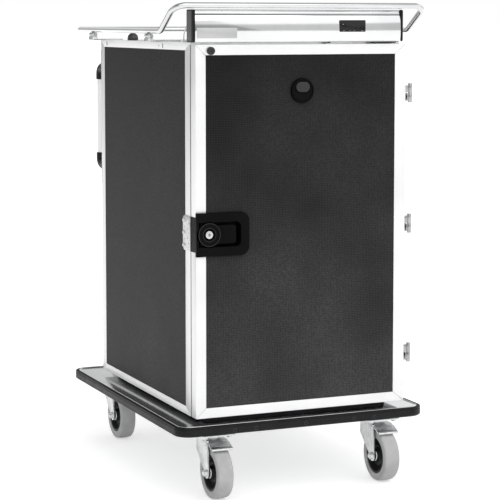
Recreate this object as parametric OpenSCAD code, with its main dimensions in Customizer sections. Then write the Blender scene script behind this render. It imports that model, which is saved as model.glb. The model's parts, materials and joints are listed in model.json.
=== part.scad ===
// Refrigerated banquet trolley: an insulated cabinet with one door, a tray rack
// and a fan-driven cooling unit, on a bumpered base with four swivel castors.
// X runs across the trolley, the door faces -Y and Z is up from the floor.

/* [Base] */
// Width over the bumper
base_w = 836; // [800:2:900]
// Length over the bumper
base_l = 1045; // [1020:5:1150]
// Reach of the bumper in front of the door
front_reach = 27; // [20:1:35]
// Outer corner radius of the bumper
corner_r = 50; // [40:1:65]
// Thickness of the bumper, from the tray to its outer face
bumper_t = 13; // [11:0.5:18]
// Height of the bumper
bumper_h = 28.7; // [26:0.1:32]
// Sheet thickness of the tray
tray_t = 2.5; // [2:0.5:4]
// Height of the chassis rails
rail_h = 30.5; // [28:0.5:45]
// Width of a chassis rail
rail_w = 124; // [118:2:140]
// Sheet thickness of the chassis rails
rail_t = 3; // [2:0.5:4]

/* [Castors] */
// Diameter of the wheels
wheel_d = 160; // [140:2:180]
// Width of the tread
tread_w = 50; // [40:1:52]
// Height from the top of the tyre to the mounting face
wheel_room = 37; // [36:0.5:48]
// Distance of the axle behind the swivel axis
trail = 46; // [40:1:52]
// Distance of a swivel axis from the side of the base
castor_in_x = 137; // [125:1:160]
// Distance of a swivel axis from the end of the base
castor_in_y = 84; // [80:1:120]
// Thickness of the mounting plates and fork legs
plate_t = 4; // [3:0.5:5]
// Spacing of the plate's holes across the trolley
hole_x = 80; // [76:1:84]
// Spacing of the plate's holes along the trolley
hole_y = 105; // [100:1:110]
// Diameter of the wheel axles
axle_d = 12; // [10:0.5:14]

/* [Cabinet] */
// Width of the cabinet
body_w = 704; // [640:2:740]
// Depth of the cabinet behind the door
body_d = 829; // [780:1:860]
// Thickness of the insulated walls
wall_t = 36; // [34:1:44]
// Gap between the tray and the cabinet
plinth_h = 20; // [14:1:30]
// Distance of the plinth from the sides of the cabinet
plinth_in = 46; // [38:1:80]
// Width of the front posts, seen from the side
front_post_w = 42; // [38:1:55]
// Width of the rear posts, seen from the side
rear_post_w = 34; // [28:1:45]
// Width of the side rails, seen from the side
side_rail_w = 24; // [20:1:36]
// Depth of the side panels below the faces of their profiles
panel_in = 1; // [0.5:0.5:2]
// Sheet thickness of the lining
liner_t = 1.2; // [0.8:0.2:2]
// Number of tray levels
levels = 10; // [6:1:12]
// Height of the lowest ledge above the chamber's floor
lowest_level = 90; // [60:5:120]
// Room between the highest ledge and the chamber's roof
level_room = 70; // [50:5:120]
// Reach of the tray runners from the chamber's walls
runner_w = 66; // [50:1:80]
// Distance from the cabinet's front to the air duct panel
duct_y = 647; // [600:1:680]

/* [Door] */
// Height of the door
door_h = 1125; // [1080:1:1290]
// Gap between the door's top edge and the roof
door_top_gap = 7; // [4:1:14]
// Thickness of the door
door_t = 39; // [36:1:46]
// Gap between the door and the cabinet
door_gap = 4; // [3.5:0.5:6]
// Width of the door's left profile
stile_left_w = 33.5; // [33.5:0.5:45]
// Width of the door's right profile
stile_right_w = 38; // [34:0.5:45]
// Width of the door's top and bottom profiles
door_rail_w = 31; // [28:0.5:40]
// Gap that shows where two profiles meet at a corner
mitre_gap = 0.4; // [0.2:0.1:0.8]
// Distance of the hinge axis from the cabinet's side
hinge_out = 18; // [17:0.5:24]
// Distance of the hinge axis behind the door's face
hinge_in = 5; // [4:0.5:8]
// Diameter of the hinge knuckles
knuckle_d = 13; // [11:0.5:15]
// Diameter of the hinge pins
hinge_pin_d = 6; // [5:0.5:7]
// Height of a hinge
hinge_h = 60; // [50:1:80]
// Height of the lowest hinge above the door's bottom edge
hinge_low_z = 153; // [100:1:200]
// Distance of the highest hinge below the door's top edge
hinge_high_z = 153; // [100:1:200]
// Distance of the vent's centre below the door's top edge
vent_down = 140; // [110:1:300]
// Diameter of the vent's bezel
vent_d = 76; // [66:1:90]
// Diameter of the rubber door buffer
buffer_d = 24; // [18:1:28]

/* [Latch] */
// Height of the latch above the door's bottom edge
latch_z = 558; // [450:1:700]
// Width of the latch housing
latch_w = 172; // [165:1:190]
// Height of the latch housing
latch_h = 131; // [120:1:150]
// Height of the housing above the door's face
latch_proud = 11; // [10:0.5:12.5]
// Depth of the latch box behind the door's face
latch_box_d = 26; // [22:1:27]
// Height of the hand recess
recess_h = 74; // [70:1:78]
// Distance of the lock from the door's left edge
lock_x = 40.8; // [40:0.1:44]
// Diameter of the lock cylinder
lock_d = 24; // [20:1:26]
// Diameter of the paddle's round boss
boss_d = 74; // [66:1:74]
// Reach of the paddle from the door's left edge
paddle_x = 128; // [115:1:132]
// Travel of the lock's bolt
bolt_travel = 7; // [5:0.5:7]

/* [Top] */
// Height of the control housing
fascia_h = 98; // [80:1:120]
// Depth of the control housing
fascia_d = 52; // [45:1:70]
// Distance of the control housing's face behind the door's face
fascia_in = 20; // [15:1:30]
// Thickness of the control housing's end caps
cap_t = 8; // [6:1:12]
// Diameter of the guard rail's tube
tube_d = 18; // [16:1:22]
// Distance of the guard rail's middle from the cabinet's side
rail_out = 65.5; // [55:0.5:80]
// Distance of the guard rail's rear run behind the cabinet
rail_rear = 53; // [40:1:70]
// Height of the guard rail's middle above the roof
rail_up = 34; // [30:1:50]
// Rise of the guard rail's front run above its side runs
rail_rise = 76; // [66:1:100]
// Length of the guard rail's slopes, along the trolley
rail_slope_l = 115; // [100:1:150]
// Radius of the guard rail's corners
rail_bend_r = 50; // [35:1:60]

/* [Back] */
// Length of a push handle
handle_l = 452; // [400:1:500]
// Height of the push handles' top end below the roof
handle_down = 36; // [20:1:60]
// Distance of a push handle's middle behind the cabinet
handle_out = 57; // [50:1:70]
// Distance of a push handle's middle from the cabinet's side
handle_in = 20; // [18:1:30]
// Diameter of the push handles' grips
grip_d = 30; // [26:1:36]
// Width of the cooling unit
unit_w = 580; // [500:5:600]
// Depth of the cooling unit
unit_d = 118; // [112:1:130]
// Height of the cooling unit
unit_h = 580; // [560:5:620]
// Diameter of the fans
fan_d = 190; // [160:5:200]

/* [Hidden] */

$fn = 64;
cut = 1;
steel = [0.78, 0.79, 0.80];
aluminium = [0.90, 0.90, 0.91];
laminate = [0.20, 0.20, 0.21];
black = [0.07, 0.07, 0.08];
zinc = [0.70, 0.71, 0.73];
tyre_grey = [0.66, 0.66, 0.66];

// Running clearance of turning parts, seating clearance of moulded parts
run_gap = 0.3;
shaft_gap = 0.1;
seat_gap = 0.3;

// Levels, all above the floor
castor_h = wheel_d + wheel_room;
tray_top = castor_h + rail_h + tray_t;
body_z = tray_top + plinth_h;
body_h = door_h + door_top_gap;
body_top = body_z + body_h;
door_top = body_z + door_h;

// Places along the trolley, behind the door's face
body_y = door_t + door_gap;
body_rear = body_y + body_d;
base_front = -front_reach;
base_rear = base_front + base_l;
castor_y = [base_front + castor_in_y, base_rear - castor_in_y];
castor_x = base_w / 2 - castor_in_x;
tyre_front = castor_y[0] - trail - wheel_d / 2;
frame_mid_y = (min(tyre_front, base_front) + base_rear) / 2;

// Places across the trolley
half_w = body_w / 2;
inner_x = half_w - wall_t;

// Moves the model so that the middle of its footprint is the origin
module in_frame() {
    translate([0, -frame_mid_y, 0])
        children();
}

// Outline of a rectangle with four round corners
module rounded_rect(w, l, r) {
    square([w - 2 * r, l], center = true);
    square([w, l - 2 * r], center = true);
    for (x = [-1, 1], y = [-1, 1])
        translate([x * (w / 2 - r), y * (l / 2 - r)])
            circle(r);
}

// Block between two corners
module block(from, to) {
    translate(from)
        cube(to - from);
}

// Shape with its section in the YZ plane, swept across the trolley
module across(x_from, x_to) {
    translate([x_from, 0, 0])
        rotate([90, 0, 90])
            linear_extrude(x_to - x_from)
                children();
}

// Shape with its outline in the XZ plane, swept from the front to the back
module along(y_from, y_to) {
    translate([0, y_to, 0])
        rotate([90, 0, 0])
            linear_extrude(y_to - y_from)
                children();
}

// Round bar between two points
module rod(from, to, r) {
    v = to - from;
    translate(from)
        rotate([0, acos(v[2] / norm(v)), atan2(v[1], v[0])])
            cylinder(h = norm(v), r = r);
}

// The base

tray_front = base_front + bumper_t;
tray_rear = base_rear - bumper_t;
tray_r = corner_r - bumper_t;
base_mid_y = (base_front + base_rear) / 2;
bumper_low = tray_top - bumper_h;
lip_t = 2.5;

module tray_outline(inset) {
    translate([0, base_mid_y])
        rounded_rect(base_w - 2 * bumper_t - 2 * inset, base_l - 2 * bumper_t - 2 * inset,
            tray_r - inset);
}

module base_tray() {
    color(steel) in_frame() {
        translate([0, 0, tray_top - tray_t])
            linear_extrude(tray_t)
                tray_outline(0);
        translate([0, 0, bumper_low])
            linear_extrude(bumper_h - tray_t)
                difference() {
                    tray_outline(0);
                    tray_outline(lip_t);
                }
    }
}

chassis_end = 30;
chassis_front = tray_front + chassis_end;
chassis_rear = tray_rear - chassis_end;
cross_w = 60;

// Channel with its web down, its open side closed by the tray
module chassis_rail(side) {
    difference() {
        translate([side * castor_x - rail_w / 2, chassis_front, castor_h])
            cube([rail_w, chassis_rear - chassis_front, rail_h]);
        translate([side * castor_x - rail_w / 2 + rail_t, chassis_front - cut, castor_h + rail_t])
            cube([rail_w - 2 * rail_t, chassis_rear - chassis_front + 2 * cut, rail_h]);
        for (y = castor_y)
            translate([side * castor_x, y, castor_h - cut])
                plate_holes(castor_bolt_d + 2 * shaft_gap, rail_t + 2 * cut);
    }
}

module base_frame() {
    color(zinc) in_frame() {
        for (side = [-1, 1])
            chassis_rail(side);
        for (y = [castor_y[0] + plate_l, base_mid_y, castor_y[1] - plate_l])
            difference() {
                translate([-castor_x + rail_w / 2, y - cross_w / 2, castor_h])
                    cube([2 * castor_x - rail_w, cross_w, rail_h]);
                translate([-castor_x + rail_w / 2 - cut, y - cross_w / 2 + rail_t, castor_h + rail_t])
                    cube([2 * castor_x - rail_w + 2 * cut, cross_w - 2 * rail_t, rail_h]);
            }
    }
}

groove_w = 3;
groove_h = 3.7;
bead_z = 5;

// Section of the rubber bumper, from the tray outwards
module bumper_section() {
    polygon([
        [0, 0], [bumper_t - 4, 0], [bumper_t, 4],
        [bumper_t, bumper_h - bead_z - 1.5], [bumper_t - 1.4, bumper_h - bead_z - 0.5],
        [bumper_t - 1.4, bumper_h - bead_z + 0.5], [bumper_t, bumper_h - bead_z + 1.5],
        [bumper_t, bumper_h - 1.5], [bumper_t - 1.5, bumper_h],
        [groove_w, bumper_h], [groove_w, bumper_h - groove_h], [0, bumper_h - groove_h]
    ]);
}

module bumper_strip() {
    color(black) in_frame() translate([0, base_mid_y, bumper_low]) {
        straight_x = base_w - 2 * corner_r;
        straight_y = base_l - 2 * corner_r;
        for (side = [-1, 1]) {
            rotate([0, 0, side * 90 + 90])
                translate([0, base_l / 2 - bumper_t, 0])
                    rotate([90, 0, 90])
                        translate([0, 0, -straight_x / 2])
                            linear_extrude(straight_x)
                                bumper_section();
            rotate([0, 0, side * 90])
                translate([0, base_w / 2 - bumper_t, 0])
                    rotate([90, 0, 90])
                        translate([0, 0, -straight_y / 2])
                            linear_extrude(straight_y)
                                bumper_section();
        }
        for (turn = [0, 1, 2, 3])
            translate([
                (turn == 0 || turn == 3 ? 1 : -1) * straight_x / 2,
                (turn < 2 ? 1 : -1) * straight_y / 2, 0
            ])
                rotate([0, 0, turn * 90])
                    rotate_extrude(angle = 90)
                        translate([tray_r, 0])
                            bumper_section();
    }
}

// Spacer board under the cabinet, set back behind its sides
module plinth() {
    plinth_half = half_w - plinth_in;
    color(black) in_frame()
        block([-plinth_half, body_y, tray_top], [plinth_half, body_rear, body_z]);
}

// The castors

plate_w = 110;
plate_l = 135;
castor_bolt_d = 10;
bolt_head_h = 6.5;
race_r = 36;
race_h = 5;
crown_t = 5;
kingpin_r = 6;
kingpin_nut_h = 7.5;
crown_down = 19;
crown_r = 38;
head_top = castor_h - plate_t - race_h - run_gap;
crown_z = castor_h - plate_t - crown_down;
leg_gap = 60;
leg_in = leg_gap / 2;
leg_out = leg_in + plate_t;
axle_r = axle_d / 2;
axle_z = wheel_d / 2;
leg_rear = 36;
leg_skirt_h = 35;
leg_boss_r = 17;
pedal_y = -trail - 1;
pedal_z = crown_z - 3;
pedal_pin_r = 4;

module plate_holes(d, h) {
    for (x = [-1, 1], y = [-1, 1])
        translate([x * hole_x / 2, y * hole_y / 2, 0])
            cylinder(h = h, d = d);
}

// Plate, fixed race and kingpin of one castor, with its four bolts
module castor_plate() {
    difference() {
        translate([0, 0, castor_h - plate_t])
            linear_extrude(plate_t)
                rounded_rect(plate_w, plate_l, 8);
        translate([0, 0, castor_h - plate_t - cut])
            plate_holes(castor_bolt_d + 2 * shaft_gap, plate_t + 2 * cut);
    }
    translate([0, 0, castor_h - plate_t - race_h])
        cylinder(h = race_h, r = race_r);
    translate([0, 0, crown_z - kingpin_nut_h])
        cylinder(h = castor_h - plate_t - crown_z + kingpin_nut_h, r = kingpin_r);
    translate([0, 0, crown_z - run_gap - kingpin_nut_h])
        cylinder(h = kingpin_nut_h, r = 10, $fn = 6);
}

module castor_bolts() {
    head_z = castor_h - plate_t - bolt_head_h;
    for (x = [-1, 1], y = [-1, 1])
        translate([x * hole_x / 2, y * hole_y / 2, head_z]) {
            cylinder(h = bolt_head_h, d = 1.8 * castor_bolt_d, $fn = 6);
            cylinder(h = bolt_head_h + plate_t + rail_t + 8, d = castor_bolt_d);
            translate([0, 0, bolt_head_h + plate_t + rail_t])
                cylinder(h = 7, d = 1.8 * castor_bolt_d, $fn = 6);
        }
}

module castor_plates() {
    color(zinc) in_frame()
        for (x = [-1, 1], y = castor_y)
            translate([x * castor_x, y, 0]) {
                castor_plate();
                castor_bolts();
            }
}

// Fork leg seen from the side, with its boss at the axle
module leg_outline() {
    polygon([
        [-trail - leg_boss_r / 2, crown_z + crown_t], [leg_rear, crown_z + crown_t],
        [leg_rear, crown_z - leg_skirt_h], [-trail + leg_boss_r, axle_z],
        [-trail - leg_boss_r, axle_z]
    ]);
    translate([-trail, axle_z])
        circle(leg_boss_r);
}

module castor_fork(with_brake) {
    difference() {
        union() {
            translate([0, 0, crown_z + crown_t])
                cylinder(h = head_top - crown_z - crown_t, r = crown_r);
            block([-leg_out, -crown_r, crown_z], [leg_out, leg_rear, crown_z + crown_t]);
            for (x = [-leg_out, leg_in])
                across(x, x + plate_t)
                    leg_outline();
        }
        translate([0, 0, crown_z - cut])
            cylinder(h = head_top - crown_z + 2 * cut, r = kingpin_r + shaft_gap);
        rod([-leg_out - cut, -trail, axle_z], [leg_out + cut, -trail, axle_z], axle_r + shaft_gap);
    }
    rod([-leg_out - 12, -trail, axle_z], [leg_out + 12, -trail, axle_z], axle_r);
    for (side = [-1, 1])
        translate([side * (leg_out + 4), -trail, axle_z])
            rotate([0, 90, 0])
                cylinder(h = 8, r = 11, center = true, $fn = 6);
    if (with_brake)
        rod([-leg_out - 3, pedal_y, pedal_z], [leg_out + 3, pedal_y, pedal_z], pedal_pin_r);
}

hub_r = wheel_d / 2 - 23;
hub_half = leg_in - run_gap;

// Dished wheel centre, turned about its axle
module castor_hub() {
    translate([0, -trail, axle_z])
        rotate([0, 90, 0])
            rotate_extrude()
                polygon([
                    [axle_r + shaft_gap, -hub_half], [14, -hub_half], [16, -12],
                    [hub_r - 13, -7], [hub_r - 7, -tread_w / 2 + 2], [hub_r, -tread_w / 2 + 2],
                    [hub_r, tread_w / 2 - 2], [hub_r - 7, tread_w / 2 - 2], [hub_r - 13, 7],
                    [16, 12], [14, hub_half], [axle_r + shaft_gap, hub_half]
                ]);
}

module castor_tyre() {
    tread = tread_w / 2;
    tyre_r = wheel_d / 2;
    translate([0, -trail, axle_z])
        rotate([0, 90, 0])
            rotate_extrude()
                polygon([
                    [hub_r, -tread + 1], [hub_r + 3, -tread], [tyre_r - 6, -tread],
                    [tyre_r - 2.6, -tread + 2], [tyre_r - 0.7, -tread + 6], [tyre_r, -tread + 11],
                    [tyre_r, tread - 11], [tyre_r - 0.7, tread - 6], [tyre_r - 2.6, tread - 2],
                    [tyre_r - 6, tread], [hub_r + 3, tread], [hub_r, tread - 1]
                ]);
}

pedal_w = 70;
pedal_neck_w = 56;
pedal_t = 4;
pedal_rise = 12;
pedal_fall = 8.5;
pedal_rear = 7;
pedal_reach = 41;
pedal_wide_reach = 11;
pedal_lip_r = 4.2;
sleeve_r = 7.5;
shoe_half = 18;

// Height of the foot plate's top above the pin, at a distance in front of the pin
function pedal_level(reach) =
    pedal_rise - (pedal_rise + pedal_fall) * (reach + pedal_rear) / (pedal_reach + pedal_rear);

// Sloping foot plate that starts at a distance in front of the pin
module pedal_plate(w, start) {
    across(-w / 2, w / 2)
        polygon([
            [-start, pedal_level(start)], [-start, pedal_level(start) - pedal_t],
            [-pedal_reach, pedal_level(pedal_reach) - pedal_t], [-pedal_reach, pedal_level(pedal_reach)]
        ]);
}

// Brake shoe under the plate, its lower face along the tread
module brake_shoe() {
    across(-shoe_half, shoe_half)
        polygon([
            [-7, -6], [5.5, -1], [5.5, pedal_level(-5.5) - pedal_t / 2],
            [-30, pedal_level(30) - pedal_t / 2], [-30, -13.1], [-15, -9.6]
        ]);
}

// Foot plate, lip and brake shoe of one pedal, on a sleeve round its pin
module brake_pedal() {
    sleeve_half = leg_in - run_gap;
    lip_half = pedal_w / 2 - 1;
    lip_at = [-pedal_reach - 2, -pedal_fall - pedal_t];
    translate([0, pedal_y, pedal_z])
        difference() {
            union() {
                pedal_plate(pedal_neck_w, -pedal_rear);
                pedal_plate(pedal_w, pedal_wide_reach);
                rod([-lip_half, lip_at[0], lip_at[1]], [lip_half, lip_at[0], lip_at[1]], pedal_lip_r);
                brake_shoe();
                rod([-sleeve_half, 0, 0], [sleeve_half, 0, 0], sleeve_r);
            }
            rod([-leg_in, 0, 0], [leg_in, 0, 0], pedal_pin_r + shaft_gap);
        }
}

// Puts a castor's piece at one corner: -1 or 1 across, 0 front or 1 rear
module at_castor(side, end) {
    in_frame()
        translate([side * castor_x, castor_y[end], 0])
            children();
}

module castor_fork_fl() {
    color(zinc) at_castor(-1, 0) castor_fork(true);
}

module castor_fork_fr() {
    color(zinc) at_castor(1, 0) castor_fork(true);
}

module castor_fork_rl() {
    color(zinc) at_castor(-1, 1) castor_fork(false);
}

module castor_fork_rr() {
    color(zinc) at_castor(1, 1) castor_fork(false);
}

module castor_hub_fl() {
    color(black) at_castor(-1, 0) castor_hub();
}

module castor_hub_fr() {
    color(black) at_castor(1, 0) castor_hub();
}

module castor_hub_rl() {
    color(black) at_castor(-1, 1) castor_hub();
}

module castor_hub_rr() {
    color(black) at_castor(1, 1) castor_hub();
}

module castor_tyre_fl() {
    color(tyre_grey) at_castor(-1, 0) castor_tyre();
}

module castor_tyre_fr() {
    color(tyre_grey) at_castor(1, 0) castor_tyre();
}

module castor_tyre_rl() {
    color(tyre_grey) at_castor(-1, 1) castor_tyre();
}

module castor_tyre_rr() {
    color(tyre_grey) at_castor(1, 1) castor_tyre();
}

module brake_pedal_fl() {
    color(black) at_castor(-1, 0) brake_pedal();
}

module brake_pedal_fr() {
    color(black) at_castor(1, 0) brake_pedal();
}

// The cabinet

// Four mitred profiles round a rectangle; widths are left, right, bottom, top
module mitred_frame(w, h, left, right, bottom, top) {
    g = mitre_gap / 2;
    polygon([[0, g], [0, h - g], [left, h - top - g], [left, bottom + g]]);
    polygon([[w, g], [w, h - g], [w - right, h - top - g], [w - right, bottom + g]]);
    polygon([[g, 0], [w - g, 0], [w - right - g, bottom], [left + g, bottom]]);
    polygon([[g, h], [w - g, h], [w - right - g, h - top], [left + g, h - top]]);
}

module side_frame(x) {
    translate([0, body_y, body_z])
        across(x, x + wall_t)
            mitred_frame(body_d, body_h, front_post_w, rear_post_w, side_rail_w, side_rail_w);
}

// Pocket for the lock's bolt, behind a lip that the bolt hooks on to
strike_lip_x = 7.5;
pocket_x = 21;
pocket_half_h = 16;
lip_depth = 3;
pocket_d = 19;
latch_mid_z = body_z + latch_z;

module side_frame_left() {
    color(aluminium) in_frame()
        difference() {
            side_frame(-half_w);
            block(
                [-half_w + 2, body_y + lip_depth, latch_mid_z - pocket_half_h],
                [-half_w + pocket_x, body_y + pocket_d, latch_mid_z + pocket_half_h]
            );
            block(
                [-half_w + strike_lip_x, body_y - cut, latch_mid_z - pocket_half_h],
                [-half_w + pocket_x, body_y + pocket_d, latch_mid_z + pocket_half_h]
            );
        }
}

module side_frame_right() {
    color(aluminium) in_frame()
        side_frame(inner_x);
}

module cross_rails() {
    color(aluminium) in_frame()
        for (z = [body_z, body_top - wall_t]) {
            block([-inner_x, body_y, z], [inner_x, body_y + front_post_w, z + wall_t]);
            block([-inner_x, body_rear - rear_post_w, z], [inner_x, body_rear, z + wall_t]);
        }
}

panel_front = body_y + front_post_w;
panel_rear = body_rear - rear_post_w;

module side_panel(side) {
    outer = side * (half_w - panel_in);
    block(
        [min(outer, side * inner_x), panel_front, body_z + side_rail_w],
        [max(outer, side * inner_x), panel_rear, body_top - side_rail_w]
    );
}

module side_panel_left() {
    color(laminate) in_frame()
        side_panel(-1);
}

module side_panel_right() {
    color(laminate) in_frame()
        side_panel(1);
}

module floor_panel() {
    color(laminate) in_frame()
        block([-inner_x, panel_front, body_z], [inner_x, panel_rear, body_z + wall_t]);
}

module roof_panel() {
    color(steel) in_frame()
        block([-inner_x, panel_front, body_top - wall_t], [inner_x, panel_rear, body_top - panel_in]);
}

module back_panel() {
    color(laminate) in_frame()
        block([-inner_x, panel_rear, body_z + wall_t], [inner_x, body_rear, body_top - wall_t]);
}

chamber_z = body_z + wall_t;
chamber_top = body_top - wall_t;

module inner_liner() {
    color(steel) in_frame()
        difference() {
            block([-inner_x, body_y, chamber_z], [inner_x, panel_rear, chamber_top]);
            block(
                [-inner_x + liner_t, body_y - cut, chamber_z + liner_t],
                [inner_x - liner_t, panel_rear - liner_t, chamber_top - liner_t]
            );
        }
}

runner_start = 30;
ledge_w = 22;
ledge_t = 1.5;
ledge_lip_h = 18;
upright_w = 30;
duct_front = body_y + duct_y;
ledge_y = body_y + runner_start;
ledge_l = duct_front - ledge_y - 10;
level_pitch = (chamber_top - chamber_z - lowest_level - level_room) / (levels - 1);

// One rack: three uprights on the lining and a lipped ledge for each level
module tray_runners(side) {
    ledge_x = inner_x - runner_w;
    upright_in = ledge_x + ledge_w;
    upright_out = inner_x - liner_t;
    mirror([side < 0 ? 1 : 0, 0, 0]) {
        for (y = [ledge_y, ledge_y + (ledge_l - upright_w) / 2, ledge_y + ledge_l - upright_w])
            block(
                [upright_in, y, chamber_z + liner_t],
                [upright_out, y + upright_w, chamber_top - liner_t]
            );
        for (level = [0 : levels - 1])
            translate([ledge_x, ledge_y, chamber_z + lowest_level + level * level_pitch]) {
                cube([ledge_w, ledge_l, ledge_t]);
                translate([ledge_w - ledge_t, 0, 0])
                    cube([ledge_t, ledge_l, ledge_lip_h]);
            }
    }
}

module tray_runners_left() {
    color(steel) in_frame()
        tray_runners(-1);
}

module tray_runners_right() {
    color(steel) in_frame()
        tray_runners(1);
}

// The cooling circuit inside the chamber

duct_t = 2;
fan_r = fan_d / 2;
duct_fan_down = 110;
duct_fan_z = chamber_top - fan_r - duct_fan_down;
duct_slots = 9;
duct_slots_up = 60;
slot_w = 400;
slot_h = 14;
slot_pitch = 50;

module air_duct_panel() {
    color(steel) in_frame()
        difference() {
            block(
                [-inner_x + liner_t, duct_front, chamber_z + liner_t],
                [inner_x - liner_t, duct_front + duct_t, chamber_top - liner_t]
            );
            rod([0, duct_front - cut, duct_fan_z], [0, duct_front + duct_t + cut, duct_fan_z], fan_r + 8);
            for (row = [0 : duct_slots - 1])
                translate([-slot_w / 2, duct_front - cut, chamber_z + duct_slots_up + row * slot_pitch])
                    cube([slot_w, duct_t + 2 * cut, slot_h]);
        }
}

fan_y = duct_front + duct_t + 14;
fan_blade_d = 24;
fan_hub_r = 28;
motor_l = 40;
coil_w = 460;
coil_h = 220;
coil_d = 60;
fin_count = 20;
fin_t = 1.5;
coil_z = duct_fan_z - coil_h / 2;

// Fan wheel that blows along Y, with its hub round the motor shaft
module fan_wheel() {
    difference() {
        union() {
            rotate([90, 0, 0])
                cylinder(h = fan_blade_d, r = fan_hub_r, center = true);
            intersection() {
                for (blade = [0 : 4])
                    rotate([0, blade * 72, 0])
                        translate([0, 0, fan_hub_r - 4])
                            rotate([0, 0, 28])
                                translate([-34, -1, 0])
                                    cube([68, 2, fan_r]);
                rotate([90, 0, 0])
                    cylinder(h = fan_blade_d, r = fan_r, center = true);
            }
        }
        rod([0, -fan_blade_d, 0], [0, fan_blade_d, 0], motor_shaft_r + shaft_gap);
    }
}

motor_shaft_r = 4;

module evaporator_fan() {
    color(black) in_frame()
        translate([0, fan_y, duct_fan_z])
            fan_wheel();
}

// Motor behind the wheel, its shaft through the hub, on a cross strap
module evaporator_fan_motor() {
    motor_front = fan_y + fan_blade_d / 2 + run_gap;
    strap = fan_r + 18;
    color(black) in_frame() {
        rod([0, motor_front, duct_fan_z], [0, motor_front + motor_l, duct_fan_z], fan_hub_r);
        rod([0, fan_y - fan_blade_d / 2, duct_fan_z], [0, motor_front + 1, duct_fan_z], motor_shaft_r);
        for (side = [-1, 1]) {
            block(
                [min(side * 20, side * strap), motor_front + 4, duct_fan_z - 10],
                [max(side * 20, side * strap), motor_front + 7, duct_fan_z + 10]
            );
            block(
                [min(side * (strap - 3), side * strap), duct_front + duct_t, duct_fan_z - 10],
                [max(side * (strap - 3), side * strap), motor_front + 7, duct_fan_z + 10]
            );
        }
    }
}

// Finned block on two header plates, with its return bends at the left
module finned_coil(w, d, h, tubes) {
    for (fin = [0 : fin_count - 1])
        translate([-w / 2 + fin * (w - fin_t) / (fin_count - 1), -d / 2, 0])
            cube([fin_t, d, h]);
    for (row = [0 : tubes - 1], y = [-d / 4, d / 4])
        rod([-w / 2, y, (row + 0.5) * h / tubes], [w / 2, y, (row + 0.5) * h / tubes], 5);
}

coil_y = panel_rear - liner_t - coil_d / 2;

module evaporator_coil() {
    color(aluminium) in_frame()
        translate([0, coil_y, coil_z])
            finned_coil(coil_w, coil_d, coil_h, 4);
}

// The cooling unit on the back

sheet_t = 1.5;
unit_rear = body_rear + unit_d;
unit_top = body_z + unit_h;
grille_up = 150;
grille_z = body_z + grille_up;
grille_rows = 16;
grille_pitch = 14;
grille_slot_h = 6;
vent_rows = 6;
vent_rows_down = 130;
unit_margin = 60;
unit_fan_x = 150;
unit_fan_z = grille_z + grille_rows * grille_pitch / 2;
inlet_w = 50;
inlet_h = 28;
inlet_up = 40;
inlet_x = -unit_w / 2 + unit_margin;

module rear_unit_cover() {
    color(steel) in_frame()
        difference() {
            block([-unit_w / 2, body_rear, body_z], [unit_w / 2, unit_rear, unit_top]);
            block(
                [-unit_w / 2 + sheet_t, body_rear - cut, body_z + sheet_t],
                [unit_w / 2 - sheet_t, unit_rear - sheet_t, unit_top - sheet_t]
            );
            for (row = [0 : grille_rows - 1])
                translate([unit_fan_x - fan_r, unit_rear - 2 * sheet_t, grille_z + row * grille_pitch])
                    cube([fan_d, 3 * sheet_t, grille_slot_h]);
            for (row = [0 : vent_rows - 1])
                translate([
                    -unit_w / 2 + unit_margin, unit_rear - 2 * sheet_t,
                    unit_top - vent_rows_down + row * grille_pitch
                ])
                    cube([unit_w - 2 * unit_margin, 3 * sheet_t, grille_slot_h]);
            block(
                [inlet_x, unit_rear - 2 * sheet_t, body_z + inlet_up],
                [inlet_x + inlet_w, unit_rear + sheet_t, body_z + inlet_up + inlet_h]
            );
        }
}

pot_x = -120;
pot_r = 50;
pot_h = 140;
pot_ring_r = 54;
pot_ring_h = 8;
pot_base_w = 130;
pot_base_t = 4;
pot_base_gap = 6;
pot_foot_r = 8;
pot_foot_h = 12;
pot_foot_x = 45;
pot_foot_y = 35;

// Sealed compressor pot on four feet and its base plate
module compressor() {
    pot_y = body_rear + unit_d / 2;
    pot_low = pot_base_t + pot_foot_h;
    color(black) in_frame()
        translate([pot_x, pot_y, body_z + sheet_t]) {
            translate([-pot_base_w / 2, -unit_d / 2 + pot_base_gap, 0])
                cube([pot_base_w, unit_d - 2 * pot_base_gap, pot_base_t]);
            for (x = [-pot_foot_x, pot_foot_x], y = [-pot_foot_y, pot_foot_y])
                translate([x, y, pot_base_t])
                    cylinder(h = pot_foot_h + pot_ring_h / 2, r = pot_foot_r);
            translate([0, 0, pot_low])
                rotate_extrude()
                    polygon([
                        [0, 0], [pot_r * 0.76, 0], [pot_r, pot_h * 0.1], [pot_r, pot_h * 0.79],
                        [pot_r * 0.84, pot_h * 0.91], [pot_r * 0.48, pot_h * 0.99], [0, pot_h]
                    ]);
            translate([0, 0, pot_low])
                cylinder(h = pot_ring_h, r = pot_ring_r);
        }
}

unit_coil_d = 30;
unit_motor_l = 38;
unit_fan_y = body_rear + unit_coil_d + unit_motor_l + run_gap + fan_blade_d / 2;

// Condenser on the cabinet's back, with the motor of its fan
module condenser_coil() {
    motor_front = unit_fan_y - fan_blade_d / 2 - run_gap;
    color(aluminium) in_frame() {
        translate([unit_fan_x, body_rear + unit_coil_d / 2, grille_z - 10])
            finned_coil(fan_d + 20, unit_coil_d, grille_rows * grille_pitch + 20, 4);
        translate([unit_fan_x, 0, unit_fan_z]) {
            rod([0, body_rear + unit_coil_d - 1, 0], [0, motor_front, 0], fan_hub_r);
            rod([0, motor_front - 1, 0], [0, unit_fan_y + fan_blade_d / 2, 0], motor_shaft_r);
        }
    }
}

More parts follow.
